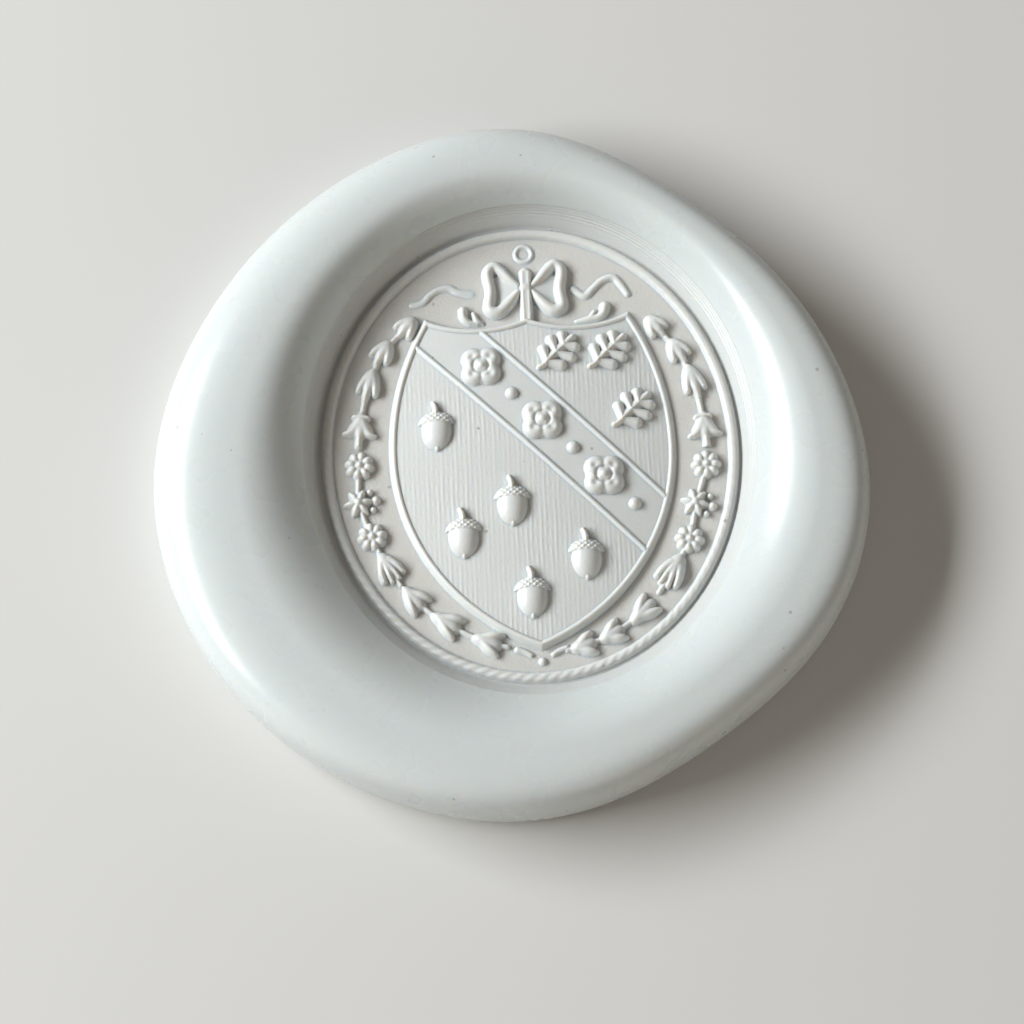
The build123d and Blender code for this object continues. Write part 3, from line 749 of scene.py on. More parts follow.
def make_wax(context, name):
    """Satin wax: clouded colour, dust, a sheen that varies and a fine skin."""
    material = bpy.data.materials.get(name)
    if material:
        return material
    finish = context.scene.wax_finish
    tone_name, roughness_name, grain_share, skin_depth = WAXES[name]
    # The tone read here carries painted light for the pressed wax, and painted shade for the wall and
    # ground wax.
    tone = getattr(finish, tone_name)
    roughness = getattr(finish, roughness_name)
    material = bpy.data.materials.new(name)
    material.use_nodes = True
    tree = material.node_tree
    surface = tree.nodes["Principled BSDF"]
    surface.inputs["IOR"].default_value = WAX_IOR
    surface.inputs["Subsurface Weight"].default_value = finish.glow
    surface.inputs["Subsurface Radius"].default_value = GLOW_RADIUS
    surface.inputs["Subsurface Scale"].default_value = finish.glow_reach
    shade = [*(part * (1 - finish.clouding) for part in tone[:3]), 1.0]
    clouds = add_group(tree, make_cloud_group, "Wax clouds", Tone=tone, Shade=shade, Size=CLOUD_SIZE)
    specks = add_group(
        tree, make_speck_group, "Wax specks",
        Spacing=SPECK_SPACING, Radius=SPECK_RADIUS, Share=SPECK_SHARE,
    )
    skin = add_group(
        tree, make_skin_group, "Wax skin",
        Ripple_size=RIPPLE_SIZE, Grain_size=finish.grain, Grain_share=grain_share,
    )
    colour = tree.nodes.new("ShaderNodeMix")
    colour.data_type = "RGBA"
    colour.inputs["B"].default_value = finish.speck
    tree.links.new(clouds.outputs["Colour"], colour.inputs["A"])
    tree.links.new(specks.outputs["Mask"], colour.inputs["Factor"])
    tree.links.new(colour.outputs["Result"], surface.inputs["Base Color"])
    sheen = tree.nodes.new("ShaderNodeMapRange")
    sheen.inputs["From Min"].default_value = SHEEN_SPAN[0]
    sheen.inputs["From Max"].default_value = SHEEN_SPAN[1]
    sheen.inputs["To Min"].default_value = roughness - SHEEN_SWING
    sheen.inputs["To Max"].default_value = roughness + SHEEN_SWING
    tree.links.new(skin.outputs["Dullness"], sheen.inputs["Value"])
    tree.links.new(sheen.outputs["Result"], surface.inputs["Roughness"])
    bump = tree.nodes.new("ShaderNodeBump")
    bump.inputs["Strength"].default_value = 1.0
    bump.inputs["Distance"].default_value = skin_depth
    tree.links.new(skin.outputs["Height"], bump.inputs["Height"])
    tree.links.new(bump.outputs["Normal"], surface.inputs["Normal"])
    return material


# Wax body
def widest_reach(angles):
    """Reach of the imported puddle's widest line at each angle, smoothed round the clock."""
    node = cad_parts["wax_body"]
    far = 2.0 * max(CAD_BOX[1] - CAD_BOX[0])
    readings = []
    for hour in range(CLOCK_READINGS):
        angle = 2 * math.pi * hour / CLOCK_READINGS
        outward = Vector((math.cos(angle), math.sin(angle), 0.0))
        hit, place, _, _ = node.ray_cast(outward * far + Vector((0, 0, EDGE_HEIGHT * MM)), -outward)
        if not hit:
            raise RuntimeError("the packed puddle has no edge at this height")
        readings.append(place.xy.length / MM)
    waves = np.fft.rfft(readings) / CLOCK_READINGS
    reach = np.full(len(angles), waves[0].real)
    for number in range(1, CLOCK_WAVES + 1):
        reach += 2 * (waves[number] * np.exp(1j * number * angles)).real
    return reach


def oval_reach(angles, half_x, half_y):
    return 1 / np.hypot(np.cos(angles) / half_x, np.sin(angles) / half_y)


def oval_ease(angles):
    """How far the pressed oval stands out of its even line, which the die slid a little to one side."""
    return OVAL_EASE * (1 - np.cos(angles - math.radians(EASE_HEADING)))


def body_rings(shape, angles):
    """Rings of the body from the underside, over the rim and down the wall to the pressed floor."""
    rim_top = packed_box("wax_body")[1][2]
    widest = widest_reach(angles) - SKIN_SHRINK[0] - SKIN_SHRINK[1] * np.sin(angles)
    foot = oval_reach(angles, ROPE_HIGH[0] + LEDGE, ROPE_HIGH[1] + LEDGE) + oval_ease(angles)
    lip = foot + WALL_DRAFT
    lip_height = FLOOR + WALL_RISE
    swing = np.cos(angles - math.radians(CREST_HEADING))
    crest = lip + (CREST_SHARE + CREST_SWING * swing) * (widest - lip)
    wander = sum(share * np.sin(number * angles + start) for number, share, start in RIM_WAVES)
    highest = sum(share for _, share, _ in RIM_WAVES)
    crest_height = rim_top - shape.rim_wander / MM * (highest + wander)
    crest_height = crest_height + RIM_LIFT * np.clip(-np.cos(angles), 0, None) ** 2
    waves = (np.cos(angles), np.sin(angles))
    fullness = SHOULDER_FULLNESS + sum(more * wave for more, wave in zip(FULLNESS_SWING, waves))
    rings = []
    for turn in np.radians(np.linspace(-90, 0, FOOT_RINGS, endpoint=False)):
        height = EDGE_HEIGHT * (1 + math.sin(turn))
        rings.append((widest - FOOT_INSET * (1 - math.cos(turn)), height + 0 * widest))
    for turn in np.radians(np.linspace(0, 90, SHOULDER_RINGS, endpoint=False)):
        reach = crest + (widest - crest) * math.cos(turn) ** (2 / fullness)
        rise = math.sin(turn) ** (2 / fullness)
        rings.append((reach, EDGE_HEIGHT + (crest_height - EDGE_HEIGHT) * rise))
    fall = FALL + FALL_SWING * np.clip(np.cos(angles - math.radians(FALL_HEADING)), 0, None)
    for t in 1 - np.linspace(1, LIP_SHORT, SLOPE_RINGS) ** SLOPE_CROWDING:
        rings.append((crest + (lip - crest) * t, crest_height + (lip_height - crest_height) * t**fall))
    pressed_from = len(rings)
    facing = np.clip(np.cos(angles - math.radians(LINES_HEADING)), 0, None) ** 2
    lined = shape.wall_line_depth / MM * (LINES_LEAST + (1 - LINES_LEAST) * facing)
    creased = (0.5 + 0.5 * np.cos(angles - math.radians(CREASE_HEADING))) ** 2
    hollow = WALL_HOLLOW + HOLLOW_SWING * creased
    for t in np.linspace(0, 1, WALL_RINGS):
        height = lip_height + (FLOOR - lip_height) * t
        on_wall = fade(*LINES_START, t) * (1 - fade(*LINES_END, t))
        line = np.sin(2 * np.pi * height * MM / shape.wall_line_pitch)
        crease = CREASE_DEPTH * creased * math.exp(-(((t - CREASE_PLACE) / CREASE_HALF) ** 2))
        reach = lip + (foot - lip) * t + hollow * math.sin(math.pi * t) * (1 - t)
        reach = reach + lined * on_wall * line + crease
        rings.append((reach, height + 0 * foot))
    floor_from = len(rings) - 1
    for share in np.linspace(1.0, FLOOR_SHARE, FLOOR_RINGS + 1)[1:]:
        rings.append((foot * share, FLOOR + 0 * foot))
    return rings, pressed_from, floor_from


def make_body(context):
    """The body, with its own finish on the rim, the wall and the pressed floor; the wall and the floor
    take darker tones of painted shade.
    """
    angles = np.linspace(0, 2 * np.pi, BODY_SPOKES, endpoint=False)
    rings, pressed_from, floor_from = body_rings(context.scene.wax_shape, angles)
    points = [np.stack([r * np.cos(angles), r * np.sin(angles), h], axis=-1) for r, h in rings]
    around = np.arange(len(angles))
    after = np.roll(around, -1)
    faces = []
    for ring in range(len(rings) - 1):
        low, high = ring * len(angles), (ring + 1) * len(angles)
        faces.append(np.stack([around + low, after + low, after + high, around + high], axis=-1))
    faces.append(around[None, ::-1])
    faces.append(around[None, :] + (len(rings) - 1) * len(angles))
    mesh = new_mesh("wax_body", np.concatenate(points), faces)
    skins = [make_wax(context, name) for name in ("Poured wax", "Wall wax", "Ground wax")]
    add_piece("poured_wax_body", mesh, skins, "wax_body")
    # The wall and the pressed floor take the darker tones of painted shade.
    skin_numbers = np.zeros(len(mesh.polygons), np.int32)
    skin_numbers[pressed_from * len(angles):-2] = 1
    skin_numbers[floor_from * len(angles):-2] = 2
    skin_numbers[-1] = 2
    mesh.polygons.foreach_set("material_index", skin_numbers)


# Rope border
def rope_rise(x, y):
    """A cord of slanted strands along the oval."""
    half = ROPE_WIDTH / 2
    half_x, half_y = ROPE_HIGH[0] - half, ROPE_HIGH[1] - half
    level = np.hypot(x / half_x, y / half_y)
    angle = np.arctan2(y, x)
    across = (level - 1) * level / np.hypot(x / half_x**2, y / half_y**2) - oval_ease(angle)
    turn = np.linspace(-np.pi, np.pi, ROPE_STEPS)
    speed = np.hypot(half_x * np.sin(turn), half_y * np.cos(turn))
    run = np.concatenate([[0], np.cumsum(0.5 * (speed[1:] + speed[:-1]))])
    along = np.interp(np.arctan2(y / half_y, x / half_x), turn, run / run[-1]) * ROPE_TURNS
    strand = np.sin(np.pi * (along + ROPE_SLANT * across / half)) ** 2
    shown = np.clip(np.cos(angle - math.radians(TWIST_HEADING)), 0.0, 1.0)
    twist = ROPE_TWIST * (TWIST_LEAST + (1 - TWIST_LEAST) * shown)
    return ROPE_RISE * ((1 - np.abs(across / half) ** 3) - twist * (1 - strand))


# Garlands, drawn on the right and mirrored for the left
def garland_point(side, number):
    """Point of the garland at a count of items, eased between the items' own shifts."""
    shifts = np.array(ITEM_SHIFTS[side])
    along, out = [np.interp(number, np.arange(len(shifts)), column) for column in shifts.T]
    angle = math.radians(GARLAND_START - side * GARLAND_TURN - GARLAND_STEP * (number + along))
    return np.array([(GARLAND_X + out) * math.cos(angle), (GARLAND_Y + out) * math.sin(angle)])


def garland_item(side, number, opens=1, share=1.0):
    """Place, heading and length of one item; it opens toward the next item, or back with -1."""
    run = garland_point(side, number + 0.5) - garland_point(side, number - 0.5)
    heading = math.degrees(math.atan2(opens * run[1], opens * run[0]))
    return garland_point(side, number), heading, share * (np.hypot(*run) - GARLAND_SPACING)


def stalk_rise(x, y, side, first, last):
    """The thin stalk that strings a run of items together and reaches for the next run."""
    numbers = np.linspace(first, last + 0.5, 4 * (last - first) + 3)
    return ridge(x, y, [(*garland_point(side, number), *STALK) for number in numbers], steps=2)


def husk_rise(x, y, item, width, parts):
    """A plump flower cup whose petals open along its heading."""
    place, heading, length = item
    u, v = local(x, y, place, heading)
    size = (length, width, width, GARLAND_RISE)
    forms = [ridge(u, v, np.array(parts[0]) * size)]
    for petal in parts[1:]:
        forms.append(ridge(u, np.abs(v), np.array(petal) * size))
    return join(forms, PETAL_BLEND)


def flower_heart(u, v, disc, eye):
    """A flower's shallow disc and the bead in its middle, each a radius and a rise."""
    forms = []
    for share, rise in (disc, eye):
        radius = share * FLOWER_RADIUS
        forms.append(dome(u, v, radius, radius, GARLAND_RISE + rise))
    return forms


def daisy_rise(x, y, item):
    """Eight round-ended petals on a shallow disc, round a small eye."""
    place, heading, _ = item
    u, v = local(x, y, place, heading)
    forms = flower_heart(u, v, DAISY_DISC, DAISY_EYE)
    reach, half_length, half_width = np.array(DAISY_PETAL[:3]) * FLOWER_RADIUS
    for number in range(DAISY_PETALS):
        a, b = local(u, v, (0, 0), 360 / DAISY_PETALS * number + DAISY_TURN)
        forms.append(dome(a - reach, b, half_length, half_width, GARLAND_RISE + DAISY_PETAL[3]))
    return join(forms, FLOWER_BLEND)


def rosette_rise(x, y, item, side):
    """Six short petals on a disc round a bead, with three berries at the side that lies toward +X."""
    place, heading, _ = item
    u, v = local(x, y, place, heading)
    forms = flower_heart(u, v, ROSETTE_DISC, ROSETTE_EYE)
    petal = np.array(ROSETTE_PETAL) * (FLOWER_RADIUS, FLOWER_RADIUS, FLOWER_RADIUS, 1.0)
    for number in range(ROSETTE_PETALS):
        a, b = local(u, v, (0, 0), 360 / ROSETTE_PETALS * number + ROSETTE_TURN)
        forms.append(ridge(a, b, petal))
    for a, b, berry in BERRIES:
        forms.append(dome(u - a, v - side * b, berry, berry, BERRY_RISE))
    return join(forms, FLOWER_BLEND)


def upper_husks_rise(x, y, side):
    forms = [stalk_rise(x, y, side, 0, 3)]
    for number, share in enumerate(HUSK_LENGTHS):
        forms.append(husk_rise(x, y, garland_item(side, number, share=share), HUSK_WIDTH, BELL))
    forms.append(husk_rise(x, y, garland_item(side, 3), CROWN_WIDTH, CROWN))
    return join(forms)


def flowers_rise(x, y, side):
    return join([
        stalk_rise(x, y, side, 4, 6),
        daisy_rise(x, y, garland_item(side, 4)),
        rosette_rise(x, y, garland_item(side, 5), side),
        daisy_rise(x, y, garland_item(side, 6)),
    ])


def fan_husk_rise(x, y, side):
    fan = husk_rise(x, y, garland_item(side, 7), FAN_WIDTH, FAN)
    return join([stalk_rise(x, y, side, 7, 7), fan])


def lower_husks_rise(x, y, side):
    """Tulip husks that all open anticlockwise round the oval."""
    forms = [stalk_rise(x, y, side, 8, 10)]
    for number in (8, 9, 10):
        item = garland_item(side, number, -side, TULIP_LENGTH)
        forms.append(husk_rise(x, y, item, TULIP_WIDTH, TULIP))
    return join(forms)


def stem_rise(x, y):
    return ridge(x, y, STEM)


def bead_rise(x, y):
    centre = (BEAD_LOW + BEAD_HIGH) / 2
    half = (BEAD_HIGH[0] - BEAD_LOW[0]) / 2
    return dome(x - centre[0], y - centre[1], half, half, half)


# Shield
def arc_centre(reach_x, reach_y):
    """X of the centre, on the widest line, of the side arc through a reach."""
    return (SHIELD_HALF**2 - reach_x**2 - reach_y**2) / (2 * (SHIELD_HALF - reach_x))


def top_arc():
    """Centre and radius of the arc through the top's middle, lowest point and corner, on the right."""
    a, b, c = (0.0, TOP_MIDDLE), (CORNER_X / 2, TOP_LOW), (CORNER_X, CORNER_Y)
    rows = [[b[0] - a[0], b[1] - a[1]], [c[0] - a[0], c[1] - a[1]]]
    level = [(np.dot(end, end) - np.dot(a, a)) / 2 for end in (b, c)]
    centre = np.linalg.solve(rows, level)
    return centre, np.hypot(centre[0] - a[0], centre[1] - a[1])


def shield_gap(x, y):
    """Distance outside the shield's outline, below zero inside it."""
    x = np.abs(x)
    centre_x = np.where(y > 0, arc_centre(CORNER_X, CORNER_Y), arc_centre(0.0, SHIELD_TIP))
    side = np.hypot(x - centre_x, y) - (SHIELD_HALF - centre_x)
    centre, radius = top_arc()
    return np.maximum(side, radius - np.hypot(x - centre[0], y - centre[1]))


def outline_rise(x, y):
    """The shield's raised line, from the field inside to the floor outside."""
    inset = -LINE_WIDTH / 2 - shield_gap(x, y)
    crest = np.maximum(field_ground(x, y), LEAST_CREST) + LINE_RISE
    inner = crest - LINE_RISE * (np.clip(inset, 0, None) / (LINE_WIDTH / 2)) ** 2
    outer = crest * (np.clip(-inset, 0, None) / (LINE_WIDTH * LINE_SPREAD)) ** 2
    return inner - outer


def bend_frame():
    """Start, heading in degrees and length of the diagonal band's middle line."""
    centre_x = arc_centre(0.0, SHIELD_TIP)
    foot_x = centre_x + math.sqrt((SHIELD_HALF - centre_x) ** 2 - BEND_FOOT**2)
    start = np.array([-CORNER_X, CORNER_Y])
    run = np.array([foot_x, BEND_FOOT]) - start
    return start, math.degrees(math.atan2(run[1], run[0])), np.hypot(*run)


def bend_place(share):
    start, heading, length = bend_frame()
    angle = math.radians(heading)
    return start + share * length * np.array([math.cos(angle), math.sin(angle)])


def bend_lines_rise(x, y):
    start, heading, _ = bend_frame()
    _, across = local(x, y, start, heading)
    gap = np.abs(np.abs(across) - (BEND_WIDTH - BEND_LINE_WIDTH) / 2)
    line = LINE_RISE * (1 - (gap / (BEND_LINE_WIDTH / 2)) ** 2)
    return np.minimum(line, -BEND_LINE_SLOPE * (shield_gap(x, y) + LINE_WIDTH * BEND_LINE_STOP))


def quatrefoils_rise(x, y):
    """Four dished lobes round a boss, with a leaf point between lobes."""
    heading = bend_frame()[1]
    lobe = LOBE_SHARE * QUATREFOIL_WIDTH
    reach = QUATREFOIL_WIDTH / 2 - lobe
    point = np.array(LEAF_POINT) * (reach, 1.0, 1.0, 1.0)
    dish_place, dish_radius, dish_depth = LOBE_DISH
    groove, groove_half, groove_depth = BOSS_GROOVE
    forms = []
    for share in QUATREFOIL_PLACES:
        u, v = local(x, y, bend_place(share), heading)
        flower = []
        for quarter in range(4):
            a, b = local(u, v, (0, 0), 90 * quarter)
            petal = dome(a - reach, b, lobe, lobe, LOBE_RISE)
            from_dish = (a - reach * dish_place) ** 2 + b * b
            flower.append(petal - dish_depth * np.exp(-from_dish / (dish_radius * lobe) ** 2))
            a, b = local(u, v, (0, 0), 90 * quarter + 45)
            flower.append(ridge(a, b, point))
        disc = join(flower)
        disc = disc - groove_depth * np.exp(-(((np.hypot(u, v) - groove) / groove_half) ** 2))
        forms.append(smooth_max(disc, dome(u, v, BOSS[0], BOSS[0], BOSS[1]), CRISP_BLEND))
    return np.max(forms, axis=0)


def studs_rise(x, y):
    forms = []
    for share in STUD_PLACES:
        place = bend_place(share)
        forms.append(dome(x - place[0], y - place[1], STUD_WIDTH / 2, STUD_WIDTH / 2, STUD_RISE))
    return np.max(forms, axis=0)


def oak_leaves_rise(x, y):
    """Leaves with round lobes, a raised rib and side veins, tipped toward the top right."""
    size = np.array([CHARGE_LENGTH, CHARGE_WIDTH, 1.0, 1.0])
    heading = bend_frame()[1] + 90
    middle, rib, stalk = [np.array(run) * size for run in (LEAF_BLADE, LEAF_RIB, LEAF_STALK)]
    forms = []
    for share_x, share_y in LEAF_PLACES:
        u, v = local(x, y, (share_x * SHIELD_HALF, share_y * CORNER_Y), heading)
        blade = [ridge(u, v, middle)]
        veins = [ridge(u, v, rib)]
        for along, across in LEAF_LOBES:
            for shapes, (root, end) in ((blade, LOBE_ENDS), (veins, VEIN_ENDS)):
                run = np.array([(along - LOBE_ROOT, 0, *root), (along, across, *end)]) * size
                shapes.append(ridge(u, np.abs(v), run))
        forms.append(join([join(blade, SOFT_BLEND), ridge(u, v, stalk)] + veins, CRISP_BLEND))
    return np.max(forms, axis=0)


def acorns_rise(x, y):
    """Nuts that hang from a scaled cup with its stalk above."""
    size = np.array([CHARGE_LENGTH, CHARGE_LENGTH, CHARGE_WIDTH, 1.0])
    parts = [np.array(part) * size for part in (ACORN_NUT, ACORN_TIP, ACORN_CUP)]
    stalk = np.array(ACORN_STALK) * (CHARGE_LENGTH, CHARGE_LENGTH, 1.0, 1.0)
    brim, slope = CUP_BRIM
    pitch, depth = CUP_SCALES
    forms = []
    for share_x, share_y in ACORN_PLACES:
        u, v = local(x, y, (share_x * SHIELD_HALF, share_y * SHIELD_TIP), 90)
        nut, tip, cup = [dome(u - part[0], v, *part[1:]) for part in parts]
        cup = np.minimum(cup, slope * (u - brim * CHARGE_LENGTH))
        scales = np.abs(np.sin(np.pi * (u + v) / pitch)) * np.abs(np.sin(np.pi * (u - v) / pitch))
        cup = cup - depth * (1 - scales) * fade(*SCALES_START, cup)
        forms.append(join([nut, tip, cup, ridge(u, v, stalk)], ACORN_BLEND))
    return np.max(forms, axis=0)


def patches(x, y, first, second, span):
    """A mask of soft patches where two waves cross."""
    first, second = [np.sin(per_x * x + per_y * y + start) for per_x, per_y, start in (first, second)]
    return fade(*span, first * second)


def make_field(shape, wax):
    """The crowned field with upright hatching on both sides of the diagonal band."""
    pitch, depth = shape.hatch_pitch / MM, shape.hatch_depth / MM
    start, heading, _ = bend_frame()
    columns = np.arange(-SHIELD_HALF, SHIELD_HALF + FIELD_PITCH[0], FIELD_PITCH[0])
    rows = np.arange(SHIELD_TIP, CORNER_Y + FIELD_PITCH[1], FIELD_PITCH[1])
    x, y = np.meshgrid(columns, rows)
    _, across = local(x, y, start, heading)
    beside = fade(BEND_WIDTH / 2 + HATCH_CLEAR[0], BEND_WIDTH / 2 + HATCH_CLEAR[1], np.abs(across))
    whole = HATCH_LEAST + (1 - HATCH_LEAST) * patches(x, y, *WHOLE_PATCHES)
    reach, per_x, per_y = HATCH_WAVER
    waver = reach * np.sin(per_x * x + per_y * y)
    line = (0.5 + 0.5 * np.cos(2 * np.pi * x / pitch + waver)) ** HATCH_POWER
    hatch = depth * whole * patches(x, y, *WHOLE_SPOTS) * beside * line
    top = FLOOR + field_ground(x, y) + hatch
    inside = shield_gap(x, y) < -FIELD_INSET
    keep = inside[:-1, :-1] & inside[:-1, 1:] & inside[1:, :-1] & inside[1:, 1:]
    points, faces = shell(x, y, top, np.full_like(x, FLOOR - BED), fill_corners(keep))
    mesh = new_mesh("shield_field", points, faces)
    add_piece("pressed_shield_field", mesh, [wax], "shield_field")


# Ribbon bow, drawn on the right
def loop_rise(x, y):
    """A plump pinched loop of ribbon round a sunk face that climbs to the knot."""
    y = y - KNOT_Y
    ribbon = ridge(x, y, LOOP_RIBBON)
    level, fall = LOOP_FACE
    oval = dome(x - FACE_PLACE[0], y - FACE_PLACE[1], *FACE_HALF, 1.0)
    return smooth_max(ribbon, np.minimum(level - fall * x, FACE_SLOPE * oval), CRISP_BLEND)


def strap_rise(x, y):
    """A strap with two upright ribs that runs from the knot to the shield's top."""
    x = x - STRAP_X
    ends = (STRAP_TOP, KNOT_Y, STRAP_FOOT)
    forms = [ridge(x, y, [(0.0, at, STRAP_HALF, rise) for at, rise in zip(ends, STRAP_RISES)])]
    for side in SIDES.values():
        rib = [(side * RIB_OUT, at, RIB_HALF, rise) for at, rise in zip(ends, RIB_RISES)]
        forms.append(ridge(x, y, rib))
    return join([*forms, dome(x, y - KNOT_Y, *KNOT)], SOFT_BLEND)


def curl_rise(x, y, runs):
    """A short ribbon end that rolls up into a ball beside its own tip."""
    return join([ridge(x, y, run) for run in runs], CRISP_BLEND)


def ring_rise(x, y):
    centre = (RING_LOW + RING_HIGH) / 2
    inset, half, rise = RING_LINE
    middle = (RING_HIGH[0] - RING_LOW[0]) / 2 - inset
    gap = np.abs(np.hypot(x - centre[0], y - centre[1]) - middle)
    return rise * (1 - (gap / half) ** 2)


def add_pair(part, rise_at, material, own=None):
    """A piece on the right and its mirror image on the left, with what each side has of its own."""
    for name, side in SIDES.items():
        given = (own[name],) if own else ()
        add_relief(f"{name}_{part}", lambda x, y, s=side, g=given: rise_at(s * x, y, *g), material)


class WAXSEAL_OT_body(bpy.types.Operator):
    """Pour the puddle of wax with its rolled rim and the well pressed into it"""

    bl_idname = "wax_seal.body"
    bl_label = "Wax Body"

    def execute(self, context):
        make_body(context)
        return {"FINISHED"}


class WAXSEAL_OT_rope(bpy.types.Operator):
    """Lay the rope border round the pressed floor"""

    bl_idname = "wax_seal.rope"
    bl_label = "Rope Border"

    def execute(self, context):
        wax = make_wax(context, "Pressed wax")
        add_relief("rope_border", rope_rise, wax, pitch=ROPE_PITCH)
        return {"FINISHED"}


class WAXSEAL_OT_shield(bpy.types.Operator):
    """Raise the crowned shield and its outline"""

    bl_idname = "wax_seal.shield"
    bl_label = "Shield"

    def execute(self, context):
        wax = make_wax(context, "Pressed wax")
        make_field(context.scene.wax_shape, wax)
        add_relief("shield_outline", outline_rise, wax)
        return {"FINISHED"}


class WAXSEAL_OT_bend(bpy.types.Operator):
    """Set the diagonal band's lines, quatrefoils and studs on the shield"""

    bl_idname = "wax_seal.bend"
    bl_label = "Diagonal Band"

    def execute(self, context):
        wax = make_wax(context, "Pressed wax")
        add_relief("bend_lines", bend_lines_rise, wax, field_ground)
        add_relief("bend_quatrefoils", quatrefoils_rise, wax, field_ground)
        add_relief("bend_studs", studs_rise, wax, field_ground)
        return {"FINISHED"}


class WAXSEAL_OT_charges(bpy.types.Operator):
    """Set the oak leaves and acorns on the shield"""

    bl_idname = "wax_seal.charges"
    bl_label = "Leaves and Acorns"

    def execute(self, context):
        wax = make_wax(context, "Pressed wax")
        add_relief("oak_leaves", oak_leaves_rise, wax, field_ground)
        add_relief("acorns", acorns_rise, wax, field_ground)
        return {"FINISHED"}


class WAXSEAL_OT_garlands(bpy.types.Operator):
    """String husks and flowers down both sides of the shield"""

    bl_idname = "wax_seal.garlands"
    bl_label = "Garlands"

    def execute(self, context):
        wax = make_wax(context, "Pressed wax")
        add_pair("upper_husks", upper_husks_rise, wax, SIDES)
        add_pair("flowers", flowers_rise, wax, SIDES)
        add_pair("fan_husk", fan_husk_rise, wax, SIDES)
        add_pair("lower_husks", lower_husks_rise, wax, SIDES)
        add_pair("stem", stem_rise, wax)
        add_relief("bottom_bead", bead_rise, wax)
        return {"FINISHED"}


class WAXSEAL_OT_bow(bpy.types.Operator):
    """Tie the ribbon bow, with its ring, tails and curls"""

    bl_idname = "wax_seal.bow"
    bl_label = "Ribbon Bow"

    def execute(self, context):
        wax = make_wax(context, "Pressed wax")
        add_pair("bow_loop", loop_rise, wax)
        add_pair("ribbon_tail", ridge, wax, TAILS)
        add_pair("ribbon_curl", curl_rise, wax, CURLS)
        add_relief("bow_strap", strap_rise, wax)
        add_relief("hanging_ring", ring_rise, wax)
        return {"FINISHED"}


# Stage
def aim(thing, place, target):
    thing.location = place
    thing.rotation_euler = (Vector(target) - Vector(place)).to_track_quat("-Z", "Y").to_euler()


def add_light(name, direction, distance, size, power, colour):
    """A soft oblong light that shines on the seal from a direction."""
    lamp = bpy.data.lights.new(name, "AREA")
    lamp.shape = "RECTANGLE"
    lamp.size, lamp.size_y = size
    lamp.energy = power
    lamp.color = colour
    light = bpy.data.objects.new(name, lamp)
    bpy.context.scene.collection.objects.link(light)
    aim(light, Vector(direction).normalized() * distance, (0, 0, 0))


def make_floor(stage):
    """The plain pale floor under the seal."""
    mesh = bpy.data.meshes.new("floor")
    corners = [(x * FLOOR_HALF, y * FLOOR_HALF, 0) for x, y in ((-1, -1), (1, -1), (1, 1), (-1, 1))]
    mesh.from_pydata(corners, [], [(0, 1, 2, 3)])
    floor = bpy.data.objects.new("floor", mesh)
    bpy.context.scene.collection.objects.link(floor)
    material = bpy.data.materials.new("Pale floor")
    material.use_nodes = True
    surface = material.node_tree.nodes["Principled BSDF"]
    surface.inputs["Base Color"].default_value = stage.floor
    surface.inputs["Roughness"].default_value = FLOOR_ROUGHNESS
    mesh.materials.append(material)


def make_world(stage):
    """Soft warm light from all round, with a pale plain background for the camera."""
    world = bpy.data.worlds.new("Studio")
    bpy.context.scene.world = world
    world.use_nodes = True
    tree = world.node_tree
    room = tree.nodes["Background"]
    room.inputs["Color"].default_value = ROOM_COLOUR
    room.inputs["Strength"].default_value = stage.sky
    backdrop = tree.nodes.new("ShaderNodeBackground")
    backdrop.inputs["Color"].default_value = stage.floor
    path = tree.nodes.new("ShaderNodeLightPath")
    blend = tree.nodes.new("ShaderNodeMixShader")
    seen = add_math(tree, "MAXIMUM", path.outputs["Is Camera Ray"], path.outputs["Is Glossy Ray"])
    seen = add_math(tree, "MAXIMUM", seen, path.outputs["Is Transmission Ray"])
    tree.links.new(seen, blend.inputs["Fac"])
    tree.links.new(room.outputs["Background"], blend.inputs[1])
    tree.links.new(backdrop.outputs["Background"], blend.inputs[2])
    tree.links.new(blend.outputs["Shader"], tree.nodes["World Output"].inputs["Surface"])


def make_camera(stage):
    """The camera looks down at the seal from the shield's tip side."""
    aim_at = Vector((*AIM_AT, FLOOR)) * MM
    distance = stage.view_width / 2 / math.tan(stage.view_angle / 2)
    level = math.cos(stage.elevation)
    back = Vector(
        (-math.sin(stage.turn) * level, -math.cos(stage.turn) * level, math.sin(stage.elevation))
    )
    data = bpy.data.cameras.new("Camera")
    data.angle = stage.view_angle
    data.clip_start, data.clip_end = CLIP
    camera = bpy.data.objects.new("Camera", data)
    bpy.context.scene.collection.objects.link(camera)
    aim(camera, aim_at + back * distance, aim_at)
    bpy.context.scene.camera = camera


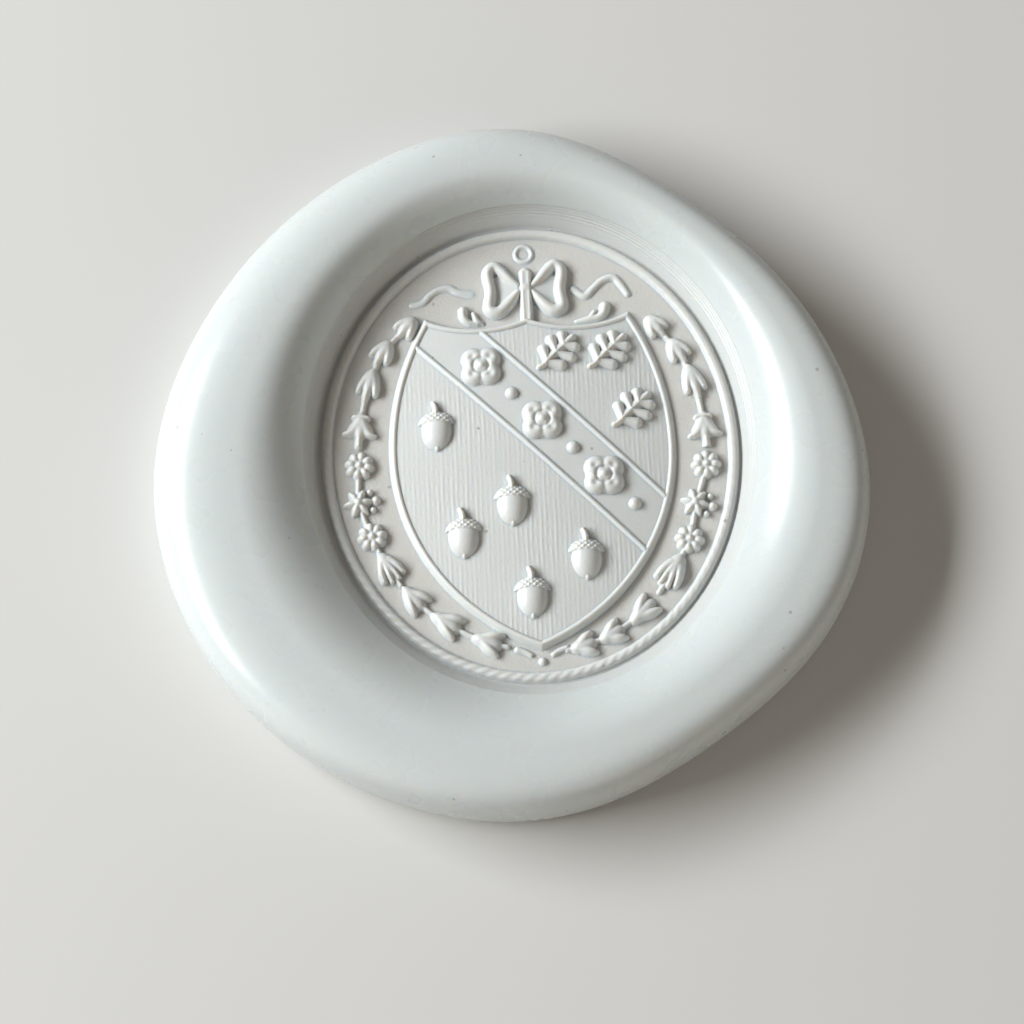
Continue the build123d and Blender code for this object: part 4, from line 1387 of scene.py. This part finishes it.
class WAXSEAL_OT_stage(bpy.types.Operator):
    """Set the pale floor, the soft light and the camera"""

    bl_idname = "wax_seal.stage"
    bl_label = "Stage"

    def execute(self, context):
        stage = context.scene.wax_stage
        context.scene.view_settings.view_transform = "Standard"
        make_floor(stage)
        make_world(stage)
        for name, (direction, distance, size, share, colour) in LAMPS.items():
            add_light(name, direction, distance, size, share * stage.key_power, colour)
        make_camera(stage)
        return {"FINISHED"}


class WAXSEAL_PT_panel(bpy.types.Panel):
    """Lists the wax seal's pieces and sizes"""

    bl_label = "Wax Seal"
    bl_idname = "WAXSEAL_PT_panel"
    bl_space_type = "VIEW_3D"
    bl_region_type = "UI"
    bl_category = "Wax Seal"

    def draw(self, context):
        for group in (context.scene.wax_finish, context.scene.wax_shape, context.scene.wax_stage):
            for name in group.__annotations__:
                self.layout.prop(group, name)
        for operator in OPERATORS:
            self.layout.operator(operator.bl_idname)


OPERATORS = (
    WAXSEAL_OT_body,
    WAXSEAL_OT_rope,
    WAXSEAL_OT_shield,
    WAXSEAL_OT_bend,
    WAXSEAL_OT_charges,
    WAXSEAL_OT_garlands,
    WAXSEAL_OT_bow,
    WAXSEAL_OT_stage,
)
CLASSES = (WaxFinish, WaxShape, WaxStage, *OPERATORS, WAXSEAL_PT_panel)


def register():
    for cls in CLASSES:
        bpy.utils.register_class(cls)
    bpy.types.Scene.wax_finish = PointerProperty(type=WaxFinish)
    bpy.types.Scene.wax_shape = PointerProperty(type=WaxShape)
    bpy.types.Scene.wax_stage = PointerProperty(type=WaxStage)


def unregister():
    del bpy.types.Scene.wax_stage
    del bpy.types.Scene.wax_shape
    del bpy.types.Scene.wax_finish
    for cls in reversed(CLASSES):
        bpy.utils.unregister_class(cls)


def main():
    register()
    bpy.ops.wax_seal.body()
    bpy.ops.wax_seal.rope()
    bpy.ops.wax_seal.shield()
    bpy.ops.wax_seal.bend()
    bpy.ops.wax_seal.charges()
    bpy.ops.wax_seal.garlands()
    bpy.ops.wax_seal.bow()
    bpy.ops.wax_seal.stage()


if __name__ == "__main__":
    main()
